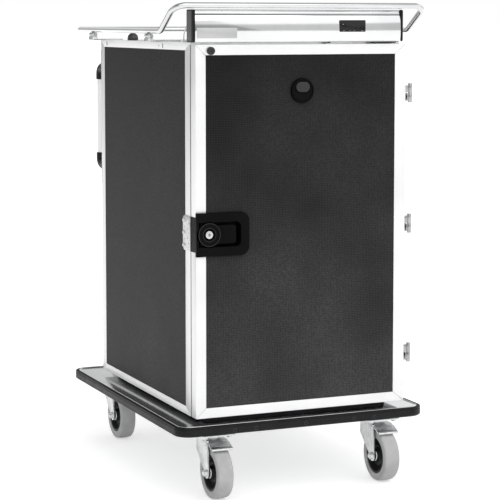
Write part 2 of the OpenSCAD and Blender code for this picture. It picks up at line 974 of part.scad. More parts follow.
// Recessed appliance inlet with three contact pins
module mains_inlet() {
    color(black) in_frame()
        translate([inlet_x, unit_rear, body_z + inlet_up]) {
            difference() {
                union() {
                    block([-4, 0, -4], [inlet_w + 4, 3, inlet_h + 4]);
                    block([seat_gap, -24, seat_gap], [inlet_w - seat_gap, 0, inlet_h - seat_gap]);
                }
                block([6, -20, 5], [inlet_w - 6, 3 + cut, inlet_h - 5]);
            }
            for (x = [-10, 0, 10])
                block([inlet_w / 2 + x - 1, -20.5, inlet_h / 2 - 3], [inlet_w / 2 + x + 1, -5, inlet_h / 2 + 3]);
        }
}

module condenser_fan() {
    color(black) in_frame()
        translate([unit_fan_x, unit_fan_y, unit_fan_z])
            fan_wheel();
}

// Push handles

handle_x = half_w - handle_in;
handle_y = body_rear + handle_out;
handle_top = body_top - handle_down;
mount_h = 100;
mount_r = 18.5;
mount_sleeve_l = 16;
mount_bend_r = 22;
mount_foot_z = 10;
mount_foot_t = 6;
mount_foot_half = 19;
grip_low = handle_top - handle_l + mount_h;
grip_high = handle_top - mount_h;

module push_handle_grips() {
    color(aluminium) in_frame()
        for (side = [-1, 1])
            translate([side * handle_x, handle_y, grip_low])
                cylinder(h = grip_high - grip_low, d = grip_d);
}

// End of a handle: sleeve, elbow and arm to the long foot on the cabinet's back
module handle_mount() {
    arm_z = mount_sleeve_l + mount_bend_r;
    cylinder(h = mount_sleeve_l, r = mount_r);
    translate([0, -mount_bend_r, mount_sleeve_l])
        rotate([90, 0, 90])
            rotate_extrude(angle = 90)
                translate([mount_bend_r, 0])
                    circle(mount_r);
    rod([0, -mount_bend_r, arm_z], [0, -handle_out, arm_z], mount_r);
    block(
        [-mount_foot_half, -handle_out, mount_foot_z],
        [mount_foot_half, -handle_out + mount_foot_t, mount_h]
    );
}

module handle_mounts() {
    color(black) in_frame()
        for (side = [-1, 1], end = [0, 1])
            translate([side * handle_x, handle_y, end == 0 ? grip_low : grip_high])
                mirror([0, 0, 1 - end])
                    handle_mount();
}

// The top

fascia_y = fascia_in;
groove_z = fascia_h - 18;
groove_t = 5;
groove_d = 7;

module control_housing() {
    color(steel) in_frame() translate([0, fascia_y, body_top])
        across(-half_w + cap_t, half_w - cap_t)
            polygon([
                [0, 0], [0, groove_z], [groove_d, groove_z],
                [groove_d, groove_z + groove_t], [0, groove_z + groove_t],
                [0, fascia_h - 3], [3, fascia_h], [fascia_d, fascia_h], [fascia_d, 0]
            ]);
}

module control_end_caps() {
    color(black) in_frame()
        for (x = [-half_w, half_w - cap_t])
            translate([0, fascia_y + fascia_d / 2, body_top + fascia_h / 2])
                across(x, x + cap_t)
                    rounded_rect(fascia_d, fascia_h, 6);
}

display_w = 89;
display_h = 36;
display_x = 176.5;
display_up = 48;
display_proud = 1;

module display_window() {
    color(black) in_frame()
        translate([display_x, 0, body_top + display_up])
            along(fascia_y - display_proud, fascia_y)
                rounded_rect(display_w, display_h, 3);
}

rail_x = half_w + rail_out;
rail_z = body_top + rail_up;
rail_front_z = rail_z + rail_rise;
rail_rear_y = body_rear + rail_rear;
rail_tilt = atan(rail_rise / rail_slope_l);
foot_reach = rail_bend_r * tan(rail_tilt / 2);
slope_l = norm([rail_slope_l, rail_rise]);
tube_r = tube_d / 2;
weld_gap = 0.1;

// Part of a ring of tube, swept from +X towards +Y
module tube_bend(turn) {
    rotate_extrude(angle = turn)
        translate([rail_bend_r, 0])
            circle(tube_r);
}

// Level part of the rail: two side runs, the rear run and the feet of the slopes
module rail_level_part() {
    foot_y = rail_slope_l + foot_reach;
    for (side = [0, 1])
        mirror([side, 0, 0]) {
            translate([rail_x, foot_y, 0])
                rotate([-90, 0, 0])
                    cylinder(h = rail_rear_y - rail_bend_r - foot_y, r = tube_r);
            translate([rail_x, foot_y, rail_bend_r])
                mirror([0, 1, 0])
                    rotate([0, 90, 0])
                        tube_bend(rail_tilt);
            translate([rail_x - rail_bend_r, rail_rear_y - rail_bend_r, 0])
                tube_bend(90);
        }
    translate([rail_bend_r - rail_x, rail_rear_y, 0])
        rotate([0, 90, 0])
            cylinder(h = 2 * (rail_x - rail_bend_r), r = tube_r);
}

// Raised bow at the front, flat in its own plane
module rail_front_bow() {
    for (side = [0, 1])
        mirror([side, 0, 0]) {
            translate([rail_x - rail_bend_r, rail_bend_r, 0])
                rotate([0, 0, -90])
                    tube_bend(90);
            translate([rail_x, rail_bend_r, 0])
                rotate([-90, 0, 0])
                    cylinder(h = slope_l - rail_bend_r - foot_reach - weld_gap, r = tube_r);
        }
    translate([rail_bend_r - rail_x, 0, 0])
        rotate([0, 90, 0])
            cylinder(h = 2 * (rail_x - rail_bend_r), r = tube_r);
}

module guard_rail() {
    color(steel) in_frame() {
        translate([0, 0, rail_z])
            rail_level_part();
        translate([0, 0, rail_front_z])
            rotate([-rail_tilt, 0, 0])
                rail_front_bow();
    }
}

bracket_y = [220, 757];
arm_w = 30;
arm_t = 5;
arm_in = 34;
spacer_r = 14.5;
stay_r = 2.5;
stay_reach = 58;
stay_knee_z = 24;

// Flat arm on the roof and the banded spacer under the guard rail
module rail_bracket() {
    spacer_h = rail_up - tube_d / 2 - arm_t;
    translate([half_w - arm_in, -arm_w / 2, 0])
        cube([rail_out + arm_in, arm_w, arm_t]);
    translate([rail_x, 0, 0])
        cylinder(h = arm_t, r = arm_w / 2);
    translate([rail_x, 0, arm_t])
        rotate_extrude()
            polygon([
                [0, 0], [spacer_r, 0], [spacer_r, spacer_h * 0.3], [spacer_r - 2, spacer_h * 0.35],
                [spacer_r - 2, spacer_h * 0.45], [spacer_r, spacer_h * 0.5], [spacer_r, spacer_h * 0.8],
                [spacer_r - 3, spacer_h], [0, spacer_h]
            ]);
}

// Bent rod from the back of the control housing down to the roof
module fascia_stay() {
    back = fascia_y + fascia_d;
    ball_r = stay_r + 0.4;
    knee = [0, back + stay_reach, stay_knee_z];
    low = [0, back + stay_reach, ball_r];
    rod([0, back + stay_r, fascia_h - 25], knee, stay_r);
    rod(knee, low, stay_r);
    rod(low, [0, back + stay_r, ball_r], stay_r);
    for (corner = [knee, low])
        translate(corner)
            sphere(ball_r);
}

module roof_brackets() {
    color(steel) in_frame() translate([0, 0, body_top]) {
        for (side = [0, 1], y = bracket_y)
            mirror([side, 0, 0])
                translate([0, y, 0])
                    rail_bracket();
        for (x = [-half_w + cap_t + 6, half_w - cap_t - 6])
            translate([x, 0, 0])
                fascia_stay();
    }
}

roof_cap_r = 18;
roof_cap_h = 24;
roof_cap_y = 600;

// Cap of the pressure relief valve, on the left edge of the roof
module roof_cap() {
    color(black) in_frame()
        translate([-half_w + wall_t / 2, roof_cap_y, body_top])
            rotate_extrude()
                polygon([
                    [0, 0], [roof_cap_r, 0], [roof_cap_r, roof_cap_h - 6],
                    [roof_cap_r - 6, roof_cap_h], [0, roof_cap_h]
                ]);
}

// The door

door_in = 0.8;
latch_box_half = recess_h / 2 + 6;
latch_box_x = 147;
cavity_x = [3, 73];
cavity_half_h = 14.3;

// Room in the door for the latch box and, behind it, for the lock's bolt
module latch_cutout() {
    translate([-half_w, 0, latch_mid_z]) {
        block([-cut, -cut, -latch_box_half - seat_gap],
            [latch_box_x + seat_gap, latch_box_d + seat_gap, latch_box_half + seat_gap]);
        block([cavity_x[0], latch_box_d, -cavity_half_h], [cavity_x[1], door_t + cut, cavity_half_h]);
    }
}

module door_frame() {
    color(aluminium) in_frame()
        difference() {
            translate([-half_w, 0, body_z])
                along(0, door_t)
                    mitred_frame(body_w, door_h, stile_left_w, stile_right_w, door_rail_w, door_rail_w);
            latch_cutout();
        }
}

vent_z = door_top - vent_down;
vent_depth = 20;
vent_x = -4;
vent_r = vent_d / 2;
vent_spigot_r = 26;

module door_panel() {
    color(laminate) in_frame()
        difference() {
            block(
                [-half_w + stile_left_w, door_in, body_z + door_rail_w],
                [half_w - stile_right_w, door_t - door_in, door_top - door_rail_w]
            );
            latch_cutout();
            rod([vent_x, -cut, vent_z], [vent_x, vent_depth, vent_z],
                vent_spigot_r + seat_gap);
        }
}

gasket_in_x = 23;
gasket_low = 20;
gasket_high = 16;
gasket_w = 10;

module door_gasket() {
    color(black) in_frame()
        translate([-half_w, door_t, body_z])
            difference() {
                block([gasket_in_x, 0, gasket_low],
                    [body_w - gasket_in_x, door_gap - run_gap, door_h - gasket_high]);
                block([gasket_in_x + gasket_w, -cut, gasket_low + gasket_w],
                    [body_w - gasket_in_x - gasket_w, door_gap + cut, door_h - gasket_high - gasket_w]);
            }
}

hinge_x = half_w + hinge_out;
hinge_y = hinge_in;
hinge_z = [hinge_low_z, (hinge_low_z + door_h - hinge_high_z) / 2, door_h - hinge_high_z];
knuckle_r = knuckle_d / 2;
pin_r = hinge_pin_d / 2;
leaf_t = 3;
leaf_h = hinge_h / 2 - 5;
web_x = half_w + leaf_t + 5;
body_leaf_y = body_y + 2;

// Lower knuckle with the pin, and the leaf that goes round to the cabinet's side
module hinge_body_leaf() {
    translate([hinge_x, hinge_y, -hinge_h / 2])
        cylinder(h = hinge_h / 2, r = knuckle_r);
    translate([hinge_x, hinge_y, 0])
        cylinder(h = hinge_h / 2 - 3, r = pin_r);
    block([web_x, hinge_y - leaf_t / 2, -leaf_h], [hinge_x, hinge_y + leaf_t / 2, -1]);
    block([web_x, hinge_y - leaf_t / 2, -leaf_h], [web_x + leaf_t, body_leaf_y + leaf_t, -1]);
    block([half_w, body_leaf_y, -leaf_h], [web_x + leaf_t, body_leaf_y + leaf_t, -1]);
    block([half_w, body_leaf_y, -leaf_h], [half_w + leaf_t, panel_front - 2, -1]);
}

module hinge_body_leaves() {
    color(steel) in_frame()
        for (z = hinge_z)
            translate([0, 0, body_z + z])
                hinge_body_leaf();
}

// Upper knuckle round the pin, and the leaf on the door's edge
module hinge_door_leaf() {
    difference() {
        union() {
            translate([hinge_x, hinge_y, run_gap])
                cylinder(h = hinge_h / 2 - run_gap, r = knuckle_r);
            block([half_w, hinge_y - leaf_t / 2, run_gap + 1], [hinge_x, hinge_y + leaf_t / 2, leaf_h]);
            block([half_w, hinge_y - leaf_t / 2, run_gap + 1],
                [half_w + leaf_t, door_t - 3, leaf_h]);
        }
        translate([hinge_x, hinge_y, -cut])
            cylinder(h = hinge_h / 2 - 2 + cut, r = pin_r + shaft_gap);
    }
}

module hinge_door_leaves() {
    color(steel) in_frame()
        for (z = hinge_z)
            translate([0, 0, body_z + z])
                hinge_door_leaf();
}

buffer_h = 13;

module door_buffer() {
    color(black) in_frame()
        translate([-half_w + 48, 0, door_top - 18])
            rotate([90, 0, 0])
                rotate_extrude()
                    polygon([
                        [0, 0], [buffer_d / 2, 0], [buffer_d / 2, buffer_h - 4],
                        [buffer_d / 2 - 3, buffer_h], [0, buffer_h]
                    ]);
}

dial_r = vent_r - 6;
dial_pivot_r = 6;
dial_pivot_h = 5;

// Fixed ring of the vent, with its spigot in the door and the dial's pivot
module vent_bezel() {
    color(black) in_frame()
        translate([vent_x, 0, vent_z])
            rotate([90, 0, 0]) {
                rotate_extrude()
                    polygon([
                        [dial_r + run_gap, 0], [vent_r, 0], [vent_r, 6], [vent_r - 4, 10],
                        [dial_r + run_gap, 10]
                    ]);
                rotate_extrude()
                    polygon([
                        [18, -vent_depth + 1], [vent_spigot_r, -vent_depth + 1], [vent_spigot_r, 0],
                        [vent_r - 1, 0], [vent_r - 1, 1.5], [18, 1.5]
                    ]);
                translate([0, 0, -vent_depth + 1])
                    cylinder(h = vent_depth - 1 + dial_pivot_h, r = dial_pivot_r);
                translate([0, 0, -vent_depth + 1])
                    cylinder(h = 3, r = 18.5);
            }
}

knob_up = 11;

// Turning cover of the vent, dished, with an oval finger pad above its middle
module vent_dial() {
    color(laminate) in_frame()
        translate([vent_x, 0, vent_z])
            rotate([90, 0, 0])
                difference() {
                    union() {
                        rotate_extrude()
                            polygon([
                                [dial_pivot_r + shaft_gap, 1.8], [dial_r, 1.8], [dial_r, 8],
                                [dial_r - 3, 8], [dial_r - 12, 4.5], [dial_pivot_r + shaft_gap, 4.5]
                            ]);
                        translate([0, knob_up, 4])
                            linear_extrude(5)
                                oval(34, 20);
                    }
                    cylinder(h = dial_pivot_h + run_gap, r = dial_pivot_r + shaft_gap);
                }
}

// Outline with straight sides and two round ends
module oval(w, h) {
    square([w - h, h], center = true);
    for (side = [-1, 1])
        translate([side * (w - h) / 2, 0])
            circle(h / 2);
}

// The latch

recess_left = 6.7;
recess_right = 142.7;
recess_r = 15;
housing_r = 28;
housing_left = -1.3;
side_plate_half = 53;
floor_t = 3;
paddle_front = -8;
paddle_t = 8;
paddle_half = 28;
paddle_pin_x = 16;
paddle_pin_y = -3;
paddle_pin_r = 2.5;

module right_round(x0, x1, half, r) {
    translate([x0, -half])
        square([x1 - x0 - r, 2 * half]);
    translate([x0, -half + r])
        square([x1 - x0, 2 * half - 2 * r]);
    for (side = [-1, 1])
        translate([x1 - r, side * (half - r)])
            circle(r);
}

module recess_outline() {
    right_round(recess_left, recess_right, recess_h / 2, recess_r);
    translate([lock_x, 0])
        circle(d = boss_d + 4);
}

// Moulded housing: face plate, box behind it, plate on the door's edge
module latch_housing() {
    color(black) in_frame() translate([-half_w, 0, latch_mid_z]) {
        difference() {
            union() {
                along(-latch_proud, 0)
                    right_round(housing_left, housing_left + latch_w, latch_h / 2, housing_r);
                block([housing_left, 0, -latch_box_half], [latch_box_x, latch_box_d, latch_box_half]);
                block([housing_left, -1, -side_plate_half], [0, door_t, side_plate_half]);
            }
            along(-latch_proud - cut, latch_box_d - floor_t)
                recess_outline();
            rod([lock_x, 0, 0], [lock_x, latch_box_d + cut, 0], lock_d / 2 + shaft_gap);
        }
        translate([paddle_pin_x, paddle_pin_y, -recess_h / 2 - 1])
            cylinder(h = recess_h + 2, r = paddle_pin_r);
    }
}

// Pull paddle: a round boss round the lock and a bar with a free end
module latch_paddle() {
    color([0.12, 0.12, 0.13]) in_frame() translate([-half_w, 0, latch_mid_z])
        difference() {
            union() {
                along(paddle_front, paddle_front + paddle_t)
                    union() {
                        right_round(lock_x, paddle_x, paddle_half, 9);
                        translate([lock_x, 0])
                            circle(d = boss_d);
                    }
                translate([paddle_pin_x, paddle_pin_y, -24])
                    cylinder(h = 48, r = 5);
            }
            rod([lock_x, paddle_front - cut, 0], [lock_x, paddle_front + paddle_t + cut, 0],
                lock_d / 2 + 4);
            translate([paddle_pin_x, paddle_pin_y, -recess_h / 2])
                cylinder(h = recess_h, r = paddle_pin_r + shaft_gap);
        }
}

bolt_y = latch_box_d + 1.1;
lock_front = -9;

module lock_cylinder() {
    color(steel) in_frame() translate([-half_w + lock_x, 0, latch_mid_z])
        difference() {
            rod([0, lock_front, 0], [0, bolt_y - run_gap, 0], lock_d / 2);
            block([-1, lock_front - cut, -5], [1, lock_front + 5, 5]);
            block([-2.5, lock_front - cut, -2.5], [2.5, lock_front + 2, 2.5]);
        }
}

bolt_half = 14;
bolt_t = 10;
hook_x = 15;
hook_t = 4;
hook_reach = 17;

// Hooked bolt, drawn back here; it slides outwards behind the strike's lip
module latch_bolt() {
    bolt_back = min(bolt_y + bolt_t, door_t - 0.5);
    hook_y = body_y + hook_reach - 4;
    color(zinc) in_frame() translate([-half_w, 0, latch_mid_z]) {
        block([cavity_x[0] + bolt_travel + 1, bolt_y, -bolt_half], [cavity_x[1] - 3, bolt_back, bolt_half]);
        block([hook_x, bolt_y, -12], [hook_x + hook_t, hook_y, 12]);
        block([hook_x - hook_t, hook_y - 6, -12], [hook_x + 1, hook_y, 12]);
    }
}

strike_half = 53;
strike_l = 59.5;
strike_t = 3;
strike_bolts = [-38, 0, 38];

// Plate on the cabinet's side, with the heads of its three screws
module strike_plate() {
    front = door_t + 0.5;
    color(steel) in_frame() translate([-half_w, 0, latch_mid_z]) {
        across(-strike_t, 0)
            polygon([
                [front, -strike_half], [front + strike_l - 10, -strike_half],
                [front + strike_l, -strike_half + 10], [front + strike_l, strike_half - 10],
                [front + strike_l - 10, strike_half], [front, strike_half]
            ]);
        for (z = strike_bolts)
            rod([-strike_t - 3.5, front + strike_l - 9, z], [-strike_t, front + strike_l - 9, z], 5);
    }
}

base_tray();
base_frame();
bumper_strip();
plinth();
castor_plates();
side_frame_left();
side_frame_right();
cross_rails();
floor_panel();
side_panel_left();
side_panel_right();
back_panel();
roof_panel();
inner_liner();
tray_runners_left();
tray_runners_right();
air_duct_panel();
evaporator_coil();
evaporator_fan_motor();
hinge_body_leaves();
strike_plate();
control_housing();
control_end_caps();
display_window();
guard_rail();
roof_brackets();
roof_cap();
push_handle_grips();
handle_mounts();
rear_unit_cover();
compressor();
condenser_coil();
mains_inlet();
evaporator_fan();
condenser_fan();
door_frame();
door_panel();
door_gasket();
hinge_door_leaves();
latch_housing();
vent_bezel();
door_buffer();
latch_paddle();
lock_cylinder();
latch_bolt();
vent_dial();
castor_fork_fl();
castor_fork_fr();
castor_fork_rl();
castor_fork_rr();
castor_hub_fl();
castor_hub_fr();
castor_hub_rl();
castor_hub_rr();
castor_tyre_fl();
castor_tyre_fr();
castor_tyre_rl();
castor_tyre_rr();
brake_pedal_fl();
brake_pedal_fr();
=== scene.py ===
import json
import math
import bpy
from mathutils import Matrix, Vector

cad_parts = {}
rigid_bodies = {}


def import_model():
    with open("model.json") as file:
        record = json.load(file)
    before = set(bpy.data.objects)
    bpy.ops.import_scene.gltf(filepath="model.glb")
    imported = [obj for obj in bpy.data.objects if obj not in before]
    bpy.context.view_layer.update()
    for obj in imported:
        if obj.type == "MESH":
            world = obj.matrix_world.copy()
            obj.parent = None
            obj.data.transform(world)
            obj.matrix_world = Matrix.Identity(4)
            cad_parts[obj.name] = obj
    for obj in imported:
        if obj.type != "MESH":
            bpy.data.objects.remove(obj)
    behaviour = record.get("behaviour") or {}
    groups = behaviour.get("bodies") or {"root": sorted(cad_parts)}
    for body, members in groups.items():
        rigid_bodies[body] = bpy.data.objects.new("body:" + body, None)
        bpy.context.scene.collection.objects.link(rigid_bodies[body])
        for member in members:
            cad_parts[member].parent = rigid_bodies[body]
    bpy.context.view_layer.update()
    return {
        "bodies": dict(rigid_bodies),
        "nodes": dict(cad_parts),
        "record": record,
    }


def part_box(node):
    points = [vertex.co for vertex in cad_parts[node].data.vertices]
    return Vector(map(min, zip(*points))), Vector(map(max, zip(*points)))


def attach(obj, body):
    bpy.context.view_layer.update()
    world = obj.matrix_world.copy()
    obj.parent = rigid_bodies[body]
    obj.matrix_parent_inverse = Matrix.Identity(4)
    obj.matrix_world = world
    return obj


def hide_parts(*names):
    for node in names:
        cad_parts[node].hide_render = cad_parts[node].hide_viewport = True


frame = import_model()
for body in frame["bodies"].values():  # as quaternions, a door and a lock turned together stay exact
    body.rotation_mode = "QUATERNION"

mm = 0.001
toFront, toSide = (90, 0, 0), (90, 0, 90)  # degrees that stand a lying outline up, seen from there
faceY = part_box("door_frame")[0].y  # the front of the shut door


def spot(x, y, z):  # a place in mm: from the middle, from the door's face, from the floor
    return Vector((x * mm, faceY + y * mm, z * mm))


# Ways of shaping a piece

def putDown():
    if bpy.context.object and bpy.context.object.mode != "OBJECT":
        bpy.ops.object.mode_set(mode="OBJECT")
    bpy.ops.object.select_all(action="DESELECT")


def pickUp(*parts):
    putDown()
    for part in parts:
        part.select_set(True)
    bpy.context.view_layer.objects.active = parts[0]


def edit(part):
    pickUp(part)
    bpy.ops.object.mode_set(mode="EDIT")
    bpy.ops.mesh.select_mode(type="VERT")
    bpy.ops.mesh.select_all(action="SELECT")


def settle(part):  # place, turn and size go into the mesh
    pickUp(part)
    bpy.ops.object.transform_apply(location=True, rotation=True, scale=True)


def putAt(part, place, turn=(0, 0, 0)):
    part.location = place
    part.rotation_euler = [math.radians(a) for a in turn]
    settle(part)
    return part


def twinOf(part, name):
    pickUp(part)
    bpy.ops.object.duplicate(linked=False)
    bpy.context.object.name = name
    return bpy.context.object


def another(part, name, place, turn=(0, 0, 0)):  # a copy of a piece that was made at the origin
    return putAt(twinOf(part, name), Vector(place), turn)


def flipped(part, name):  # the same piece upside down
    twin = twinOf(part, name)
    twin.scale.z = -1
    settle(twin)
    edit(twin)
    bpy.ops.mesh.normals_make_consistent(inside=False)
    putDown()
    return twin


def joined(name, parts):
    pickUp(*parts)
    bpy.ops.object.join()
    parts[0].name = name
    return parts[0]


def smoothOver(part, angle=32):
    pickUp(part)
    bpy.ops.object.shade_smooth_by_angle(angle=math.radians(angle))
    return part


def softEdges(part, width, segments=2, angle=30):
    rounding = part.modifiers.new("rounding", "BEVEL")
    rounding.width = width * mm
    rounding.segments = segments
    rounding.limit_method = "ANGLE"
    rounding.angle_limit = math.radians(angle)
    pickUp(part)
    bpy.ops.object.modifier_apply(modifier=rounding.name)
    return part


def solidCopy(nodeName, pieceName):  # the CAD solid's own mesh, welded and back in flat faces
    part = bpy.data.objects.new(pieceName, frame["nodes"][nodeName].data.copy())
    bpy.context.scene.collection.objects.link(part)
    part.data.materials.clear()
    edit(part)
    bpy.ops.mesh.remove_doubles(threshold=0.00001)
    bpy.ops.mesh.customdata_custom_splitnormals_clear()
    bpy.ops.mesh.dissolve_limited(angle_limit=math.radians(0.4))
    putDown()
    return part


def chain(name, points):  # vertices pulled out one after the other
    bpy.ops.mesh.primitive_plane_add(size=0.01, location=points[0])
    part = bpy.context.object
    part.name = name
    bpy.ops.object.transform_apply(location=True, rotation=True, scale=True)
    edit(part)
    bpy.ops.mesh.merge(type="CENTER")
    for before, after in zip(points, points[1:]):
        step = {"value": tuple(Vector(after) - Vector(before))}
        bpy.ops.mesh.extrude_region_move(TRANSFORM_OT_translate=step)
    edit(part)
    bpy.ops.mesh.remove_doubles(threshold=0.000001)
    bpy.ops.mesh.select_all(action="SELECT")
    return part


def roundEdges(part, width, segments, chosen, angle=25):
    # bevels the sharp edges whose two ends are chosen, in mm from the door's face
    edit(part)
    bpy.ops.mesh.select_mode(type="EDGE")
    bpy.ops.mesh.select_all(action="DESELECT")
    bpy.ops.mesh.edges_select_sharp(sharpness=math.radians(angle))
    bpy.ops.object.mode_set(mode="OBJECT")
    places = [(v.co.x / mm, (v.co.y - faceY) / mm, v.co.z / mm) for v in part.data.vertices]
    for edge in part.data.edges:
        edge.select = edge.select and all(chosen(*places[i]) for i in edge.vertices)
    for vertex in part.data.vertices:
        vertex.select = False
    for face in part.data.polygons:
        face.select = False
    bpy.ops.object.mode_set(mode="EDIT")
    bpy.ops.mesh.bevel(offset=width * mm, segments=segments, affect="EDGES", clamp_overlap=True)
    putDown()
    return part


def cutAway(part, tool, way="DIFFERENCE"):  # the tool's form is cut out of the piece, or what is outside it
    carve = part.modifiers.new("carve", "BOOLEAN")
    carve.object = tool
    carve.operation = way
    carve.solver = "EXACT"
    pickUp(part)
    bpy.ops.object.modifier_apply(modifier=carve.name)
    bpy.data.objects.remove(tool)
    return part


def setOut(part, name, places):  # one copy at each (place, turn), joined under one name
    copies = [another(part, name, place, turn) for place, turn in places]
    bpy.data.objects.remove(part)
    return joined(name, copies)


def turned(name, outline, steps=64, angle=360, closed=False):
    # outline of (radius, height) in mm, turned round Z at the origin
    points = [(r * mm, 0, h * mm) for r, h in outline]
    if closed:
        points.append(points[0])
    putDown()
    part = chain(name, points)
    bpy.ops.mesh.spin(steps=steps, angle=math.radians(angle), center=(0, 0, 0), axis=(0, 0, 1))
    bpy.ops.mesh.select_all(action="SELECT")
    bpy.ops.mesh.remove_doubles(threshold=0.000002)
    bpy.ops.mesh.normals_make_consistent(inside=False)
    putDown()
    return part


def cutOut(name, outline, depth):
    # flat outline in mm in the XY plane, filled and pulled up by depth
    points = [(x * mm, y * mm, 0) for x, y in outline]
    putDown()
    part = chain(name, points + [points[0]])
    bpy.ops.mesh.edge_face_add()
    bpy.ops.mesh.extrude_region_move(TRANSFORM_OT_translate={"value": (0, 0, depth * mm)})
    bpy.ops.mesh.select_all(action="SELECT")
    bpy.ops.mesh.normals_make_consistent(inside=False)
    putDown()
    return part


def roundedOutline(w, h, r, steps=6):
    points = []
    for cx, cy, start in ((1, 1, 0), (-1, 1, 90), (-1, -1, 180), (1, -1, 270)):
        for step in range(steps + 1):
            a = math.radians(start + 90 * step / steps)
            points.append((cx * (w / 2 - r) + r * math.cos(a), cy * (h / 2 - r) + r * math.sin(a)))
    return points


def slab(name, outline, high, soft, segments=2):  # a flat piece with round corners and soft edges
    return softEdges(cutOut(name, roundedOutline(*outline), high), soft, segments)


def hoop(place, radius, wire):  # a ring of wire that faces the front
    bpy.ops.mesh.primitive_torus_add(location=place, rotation=(math.radians(90), 0, 0),
                                     major_radius=radius * mm, minor_radius=wire * mm,
                                     major_segments=72, minor_segments=10)
    settle(bpy.context.object)
    return bpy.context.object


def bentTube(name, points, radius, closed=False, sides=6):
    putDown()
    pickUp(chain(name, [tuple(p) for p in points] + ([tuple(points[0])] if closed else [])))
    bpy.ops.object.convert(target="CURVE")
    part = bpy.context.object
    part.data.bevel_depth = radius * mm
    part.data.bevel_resolution = sides
    part.data.use_fill_caps = True
    pickUp(part)
    bpy.ops.object.convert(target="MESH")
    part = bpy.context.object
    part.name = name
    edit(part)
    bpy.ops.mesh.remove_doubles(threshold=0.000002)
    bpy.ops.mesh.normals_make_consistent(inside=False)
    putDown()
    return smoothOver(part, 50)


def roundTurns(corners, radius, steps):
    # a closed path through the corners, with each turn rounded to the radius
    path = []
    for i, here in enumerate(corners):
        back = (corners[i - 1] - here).normalized()
        on = (corners[(i + 1) % len(corners)] - here).normalized()
        half = back.angle(on) / 2
        reach = radius / math.tan(half)
        middle = here + (back + on).normalized() * radius / math.sin(half)
        start, end = here + back * reach - middle, here + on * reach - middle
        for step in range(steps + 1):
            share = step / steps
            path.append(middle + start.slerp(end, share).normalized() * radius)
    return path


# Finishes

def addNode(tree, kind, settings=None, feeds=None):
    node = tree.nodes.new(kind)
    for key, value in (settings or {}).items():
        setattr(node, key, value)
    for key, source in (feeds or {}).items():
        if isinstance(source, bpy.types.NodeSocket):
            tree.links.new(source, node.inputs[key])
        else:
            node.inputs[key].default_value = source
    return node


def noiseAt(tree, place, scale, size, detail=3.0):
    stretch = addNode(tree, "ShaderNodeMapping", feeds={"Vector": place, "Scale": scale})
    noise = addNode(tree, "ShaderNodeTexNoise",
                    feeds={"Vector": stretch.outputs["Vector"], "Scale": size, "Detail": detail})
    return noise.outputs["Fac"]


def spread(tree, value, low, high, fromLow=0.3, fromHigh=0.7):
    return addNode(tree, "ShaderNodeMapRange",
                   feeds={"Value": value, "From Min": fromLow, "From Max": fromHigh,
                          "To Min": low, "To Max": high}).outputs["Result"]


def maths(tree, operation, one, other):
    return addNode(tree, "ShaderNodeMath", {"operation": operation}, {0: one, 1: other}).outputs[0]


def mixed(tree, share, one, other, blend="MIX"):
    mix = addNode(tree, "ShaderNodeMix", settings={"data_type": "RGBA", "blend_type": blend},
                  feeds={0: share, 6: one, 7: other})
    return mix.outputs[2]


# What a look doesn't set itself
plainLook = {"metal": 0.0, "gloss": 0.5, "coat": 0.0, "coatRough": 0.1, "cloudSize": 6.0,
             "grainScale": (1, 1, 1), "grainSize": 300.0, "grainDetail": 4.0, "grainTone": 0.3,
             "relief": 0.1, "deep": 0.0003, "mixLow": 0.7, "mixHigh": 1.3}


def finishOf(name, ownLook):
    # cloudy tone, and a stretched grain in tone, gloss and relief
    look = {**plainLook, **ownLook}
    finish = bpy.data.materials.new(name)
    finish.use_nodes = True
    tree = finish.node_tree
    surface = tree.nodes["Principled BSDF"]
    surface.inputs["Metallic"].default_value = look["metal"]
    surface.inputs["Specular IOR Level"].default_value = look["gloss"]
    surface.inputs["Coat Weight"].default_value = look["coat"]
    surface.inputs["Coat Roughness"].default_value = look["coatRough"]
    place = addNode(tree, "ShaderNodeTexCoord").outputs["Object"]
    cloud = noiseAt(tree, place, (1, 1, 1), look["cloudSize"])
    grain = noiseAt(tree, place, look["grainScale"], look["grainSize"], look["grainDetail"])
    dark, pale = look["dark"] + (1,), look["pale"] + (1,)
    tone = mixed(tree, spread(tree, cloud, 0, 1), dark, pale)
    grained = mixed(tree, spread(tree, grain, 0, look["grainTone"]), tone, dark)
    tree.links.new(grained, surface.inputs["Base Color"])
    both = maths(tree, "ADD", cloud, grain)
    rough = spread(tree, both, *look["rough"], look["mixLow"], look["mixHigh"])
    tree.links.new(rough, surface.inputs["Roughness"])
    relief = addNode(tree, "ShaderNodeBump",
                     feeds={"Height": grain, "Strength": look["relief"], "Distance": look["deep"]})
    tree.links.new(relief.outputs["Normal"], surface.inputs["Normal"])
    return finish


